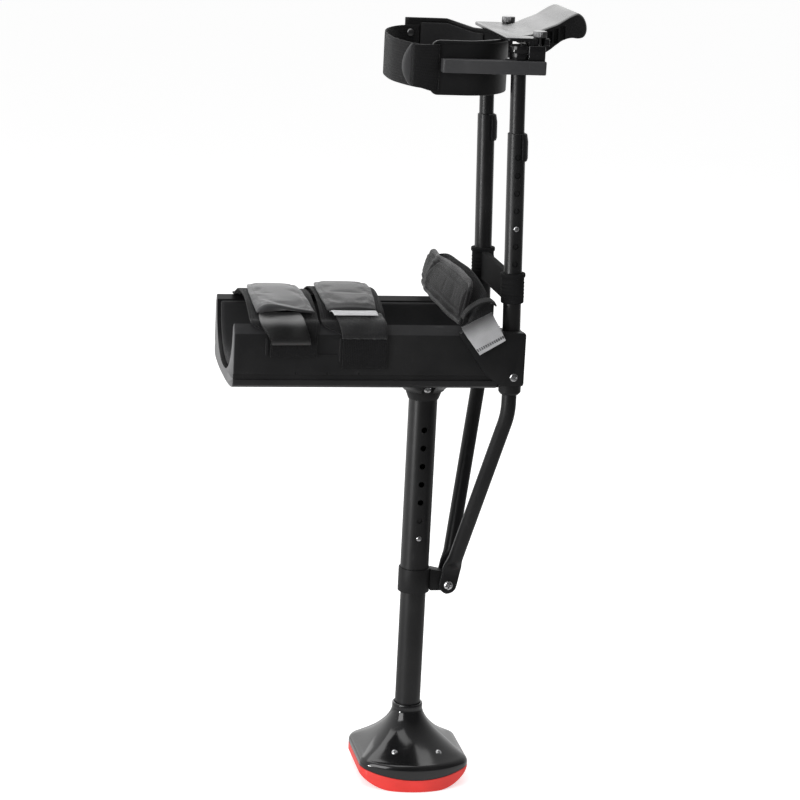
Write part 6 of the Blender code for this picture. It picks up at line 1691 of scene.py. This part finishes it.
class CRUTCH_OT_cuff(bpy.types.Operator):
    """Open thigh cuff with its rim bead, foam panels, elastic band and rivet"""

    bl_idname = "crutch.cuff"
    bl_label = "Thigh cuff"

    def execute(self, context):
        finish(cuff_shell(), "thigh_frame", "moulded plastic", "black_plastic", "cuff_shell")
        for name, side in SIDES:
            cuff_pad(name, side)
        cuff_band()
        finish(rivet_piece(), "thigh_frame", "dark steel", "bright_steel", "band_rivet")
        return {"FINISHED"}


# Stage


def above(split, across_x, across_y, level):
    """A plain slope over X and Y, kept between 0 and 1."""
    rise = Signal(split, 1).math("MULTIPLY_ADD", across_y, level)
    return Signal(split, 0).math("MULTIPLY_ADD", across_x, rise).clamped()


def seen_plainly(path):
    """1 for camera rays and for rays through glass."""
    return Signal(path, "Is Camera Ray").math("MAXIMUM", Signal(path, "Is Transmission Ray"))


def pale_material(name, colour, glow):
    """Plain pale surface that takes shadows; camera and glass rays see it glow.

    Mirror rays see it brightest behind the crutch and to its left, as light falls off in a studio, so its
    level there is a plain slope over X and Y.
    """
    made, tree, shader, coords = new_material(name)
    place = Signal(coords, "Object")
    slope = above(node(tree, "ShaderNodeSeparateXYZ", {0: place}), -0.12, 0.34, 0.26)
    distance = Signal(node(tree, "ShaderNodeVectorMath", {0: place}, operation="LENGTH"), "Value")
    # Painted light: mirror rays see the floor brighter close to the crutch, falling off with distance
    close = distance.math("MULTIPLY_ADD", -0.75, 0.6).clamped()
    path = node(tree, "ShaderNodeLightPath")
    mirror = Signal(path, "Is Glossy Ray")
    mirrored = slope.math("MAXIMUM", close).math("MAXIMUM", 0.1)
    level = Signal(node(tree, "ShaderNodeMix", {0: mirror, 2: 1.0, 3: mirrored}))
    plain = blend_colour(noise(place, 3.0, 2.0), colour, scaled(colour, 0.99))
    set_inputs(shader, {
        "Base Color": blend_colour(level, (0.0, 0.0, 0.0), plain), "Roughness": 0.9, "Specular IOR Level": 0.0,
        "Emission Color": (1.0, 1.0, 1.0, 1.0),
        "Emission Strength": seen_plainly(path).math("MAXIMUM", mirror) * level * glow})
    return made


def surroundings():
    """A white world: plain to the camera, a slope of light to mirrors, and half as bright to the rest."""
    world = bpy.data.worlds.new("soft surroundings")
    world.use_nodes = True
    tree = world.node_tree
    path = node(tree, "ShaderNodeLightPath")
    outward = Signal(node(tree, "ShaderNodeTexCoord"), "Generated")
    away = above(node(tree, "ShaderNodeSeparateXYZ", {0: outward}), -0.25, 0.55, 0.4)
    mirrored = away.math("MULTIPLY_ADD", 0.95, 0.05)
    unseen = node(tree, "ShaderNodeMix", {0: Signal(path, "Is Glossy Ray"), 2: 0.5, 3: mirrored})
    strength = node(tree, "ShaderNodeMix", {0: seen_plainly(path), 2: Signal(unseen), 3: 1.0})
    set_inputs(tree.nodes["Background"], {"Color": (1.0, 1.0, 1.0, 1.0), "Strength": Signal(strength)})
    return world


# Lamps in metres: place, target, size, power in watts, and whether mirrors see it
LAMPS = {
    "left softbox": ((-1.9, -1.5, 1.35), (0.0, 0.0, 0.55), (1.3, 1.7), 24.0, True),
    "top softbox": ((-0.3, 0.4, 2.3), (0.0, 0.0, 0.5), (2.2, 2.2), 22.0, True),
    "right fill": ((2.0, -1.6, 1.2), (0.0, 0.0, 0.5), (0.5, 1.0), 6.0, False),
    "back softbox": ((-0.1, 3.0, 1.75), (0.0, 0.0, 0.8), (3.0, 1.2), 11.5, True),
    "low strip": ((-1.99, -0.94, 0.2), (0.0, 0.0, 0.6), (0.2, 0.36), 11.0, True),
}


def soft_lamp(name, place, target, size, power, mirrored):
    lamp = bpy.data.lights.new(name, "AREA")
    lamp.shape = "RECTANGLE"
    lamp.size, lamp.size_y = size
    lamp.energy = power
    made = object_of(name, lamp)
    made.location = place
    made.rotation_euler = (Vector(target) - Vector(place)).to_track_quat("-Z", "Y").to_euler()
    made.visible_camera = False
    made.visible_glossy = mirrored


def photo_camera():
    """The photograph's viewpoint: turned to the right, tipped down, and rolled a little."""
    yaw, pitch, roll = 0.1958, 0.2383, 0.05
    ahead = Vector((math.sin(yaw) * math.cos(pitch), math.cos(yaw) * math.cos(pitch), -math.sin(pitch)))
    right = Vector((math.cos(yaw), -math.sin(yaw), 0.0))
    up = right.cross(ahead)
    turned_right = right * math.cos(roll) + up * math.sin(roll)
    turned_up = up * math.cos(roll) - right * math.sin(roll)
    camera = bpy.data.cameras.new("photo camera")
    camera.sensor_width = 36.0
    camera.lens = 119.35
    camera.clip_end = 200.0
    made = object_of("photo camera", camera)
    turn = Matrix((turned_right, turned_up, -ahead)).transposed().to_4x4()
    made.matrix_world = Matrix.Translation((-0.5707, -2.7486, 1.1097)) @ turn
    bpy.context.scene.camera = made


class CRUTCH_OT_stage(bpy.types.Operator):
    """Pale floor, soft lamps, white surroundings and the photograph's camera"""

    bl_idname = "crutch.stage"
    bl_label = "Stage"

    def execute(self, context):
        scene = context.scene
        scene.view_settings.view_transform = "Standard"
        reach = (-30000.0, 30000.0)
        floor = skin("stage_floor", [[(x, y, -0.05) for y in reach] for x in reach], around=False)
        floor.data.flip_normals()
        floor.data.materials.append(pale_material("pale floor", (0.86, 0.86, 0.86), 0.55))
        scene.world = surroundings()
        for name, numbers in LAMPS.items():
            soft_lamp(name, *numbers)
        photo_camera()
        return {"FINISHED"}


# Add-on


class CrutchSizes(bpy.types.PropertyGroup):
    """How finely the turned surfaces are divided, and how thick the tray's foam is"""

    tube_facets: IntProperty(name="Tube facets", description="Faces round each tube", default=72,
                             min=24, max=160)
    foot_facets: IntProperty(name="Foot facets", description="Faces round the foot cover", default=288,
                             min=48, max=480)
    liner_wall: FloatProperty(name="Liner wall", description="Foam at the tray's sides, in mm", default=10.35)
    liner_floor: FloatProperty(name="Liner floor", description="Foam at the tray's bottom, in mm",
                               default=13.35)


def colour_property(label, text, value):
    """A colour setting of the add-on."""
    return FloatVectorProperty(name=label, description=text, subtype="COLOR", size=3, min=0.0, max=1.0,
                               default=value)


class CrutchColours(bpy.types.PropertyGroup):
    """Base colour of every finish"""

    paint: colour_property("Paint", "Powder coat of tubes and struts", (0.007, 0.007, 0.0075))
    plastic: colour_property("Plastic", "Moulded tray, brackets and cuff", (0.009, 0.009, 0.0095))
    gloss: colour_property("Gloss plastic", "Foot cover and grip", (0.007, 0.007, 0.0075))
    rubber: colour_property("Rubber", "Walking sole", (0.85, 0.05, 0.042))
    steel: colour_property("Steel", "Screws, bolts and buttons", (0.72, 0.72, 0.73))
    webbing: colour_property("Webbing", "Straps and the cuff's elastic", (0.0065, 0.0065, 0.007))
    satin: colour_property("Satin", "Calf pads", (0.043, 0.043, 0.0447))
    quilt: colour_property("Quilt", "Knee pad", (0.0062, 0.0062, 0.0066))
    liner: colour_property("Liner", "Cloth face of the tray's foam", (0.019, 0.019, 0.0197))
    tape: colour_property("Hook tape", "End of the knee strap", (0.32, 0.32, 0.327))


STEPS = ("stage", "foot", "leg", "posts", "fasteners", "tray", "brackets", "calf_straps", "knee_band", "cuff")


class CRUTCH_PT_looks(bpy.types.Panel):
    """Sizes, colours and one button for each group of pieces"""

    bl_idname = "CRUTCH_PT_looks"
    bl_label = "Hands-free crutch"
    bl_space_type = "VIEW_3D"
    bl_region_type = "UI"
    bl_category = "Crutch"

    def draw(self, context):
        for holder in (context.scene.crutch_sizes, context.scene.crutch_colours):
            for key in holder.__annotations__:
                self.layout.prop(holder, key)
        for step in STEPS:
            self.layout.operator(f"crutch.{step}")


CLASSES = (CrutchSizes, CrutchColours, CRUTCH_OT_stage, CRUTCH_OT_foot, CRUTCH_OT_leg, CRUTCH_OT_posts,
           CRUTCH_OT_fasteners, CRUTCH_OT_tray, CRUTCH_OT_brackets, CRUTCH_OT_calf_straps, CRUTCH_OT_knee_band,
           CRUTCH_OT_cuff, CRUTCH_PT_looks)


def register():
    """Registers the add-on's classes and its two groups of settings."""
    for kind in CLASSES:
        bpy.utils.register_class(kind)
    bpy.types.Scene.crutch_sizes = PointerProperty(type=CrutchSizes)
    bpy.types.Scene.crutch_colours = PointerProperty(type=CrutchColours)


def unregister():
    """Takes back what register did."""
    del bpy.types.Scene.crutch_sizes
    del bpy.types.Scene.crutch_colours
    for kind in reversed(CLASSES):
        bpy.utils.unregister_class(kind)


def main():
    register()
    make_materials(bpy.context.scene.crutch_colours)
    for step in STEPS:
        getattr(bpy.ops.crutch, step)()


if __name__ == "__main__":
    main()
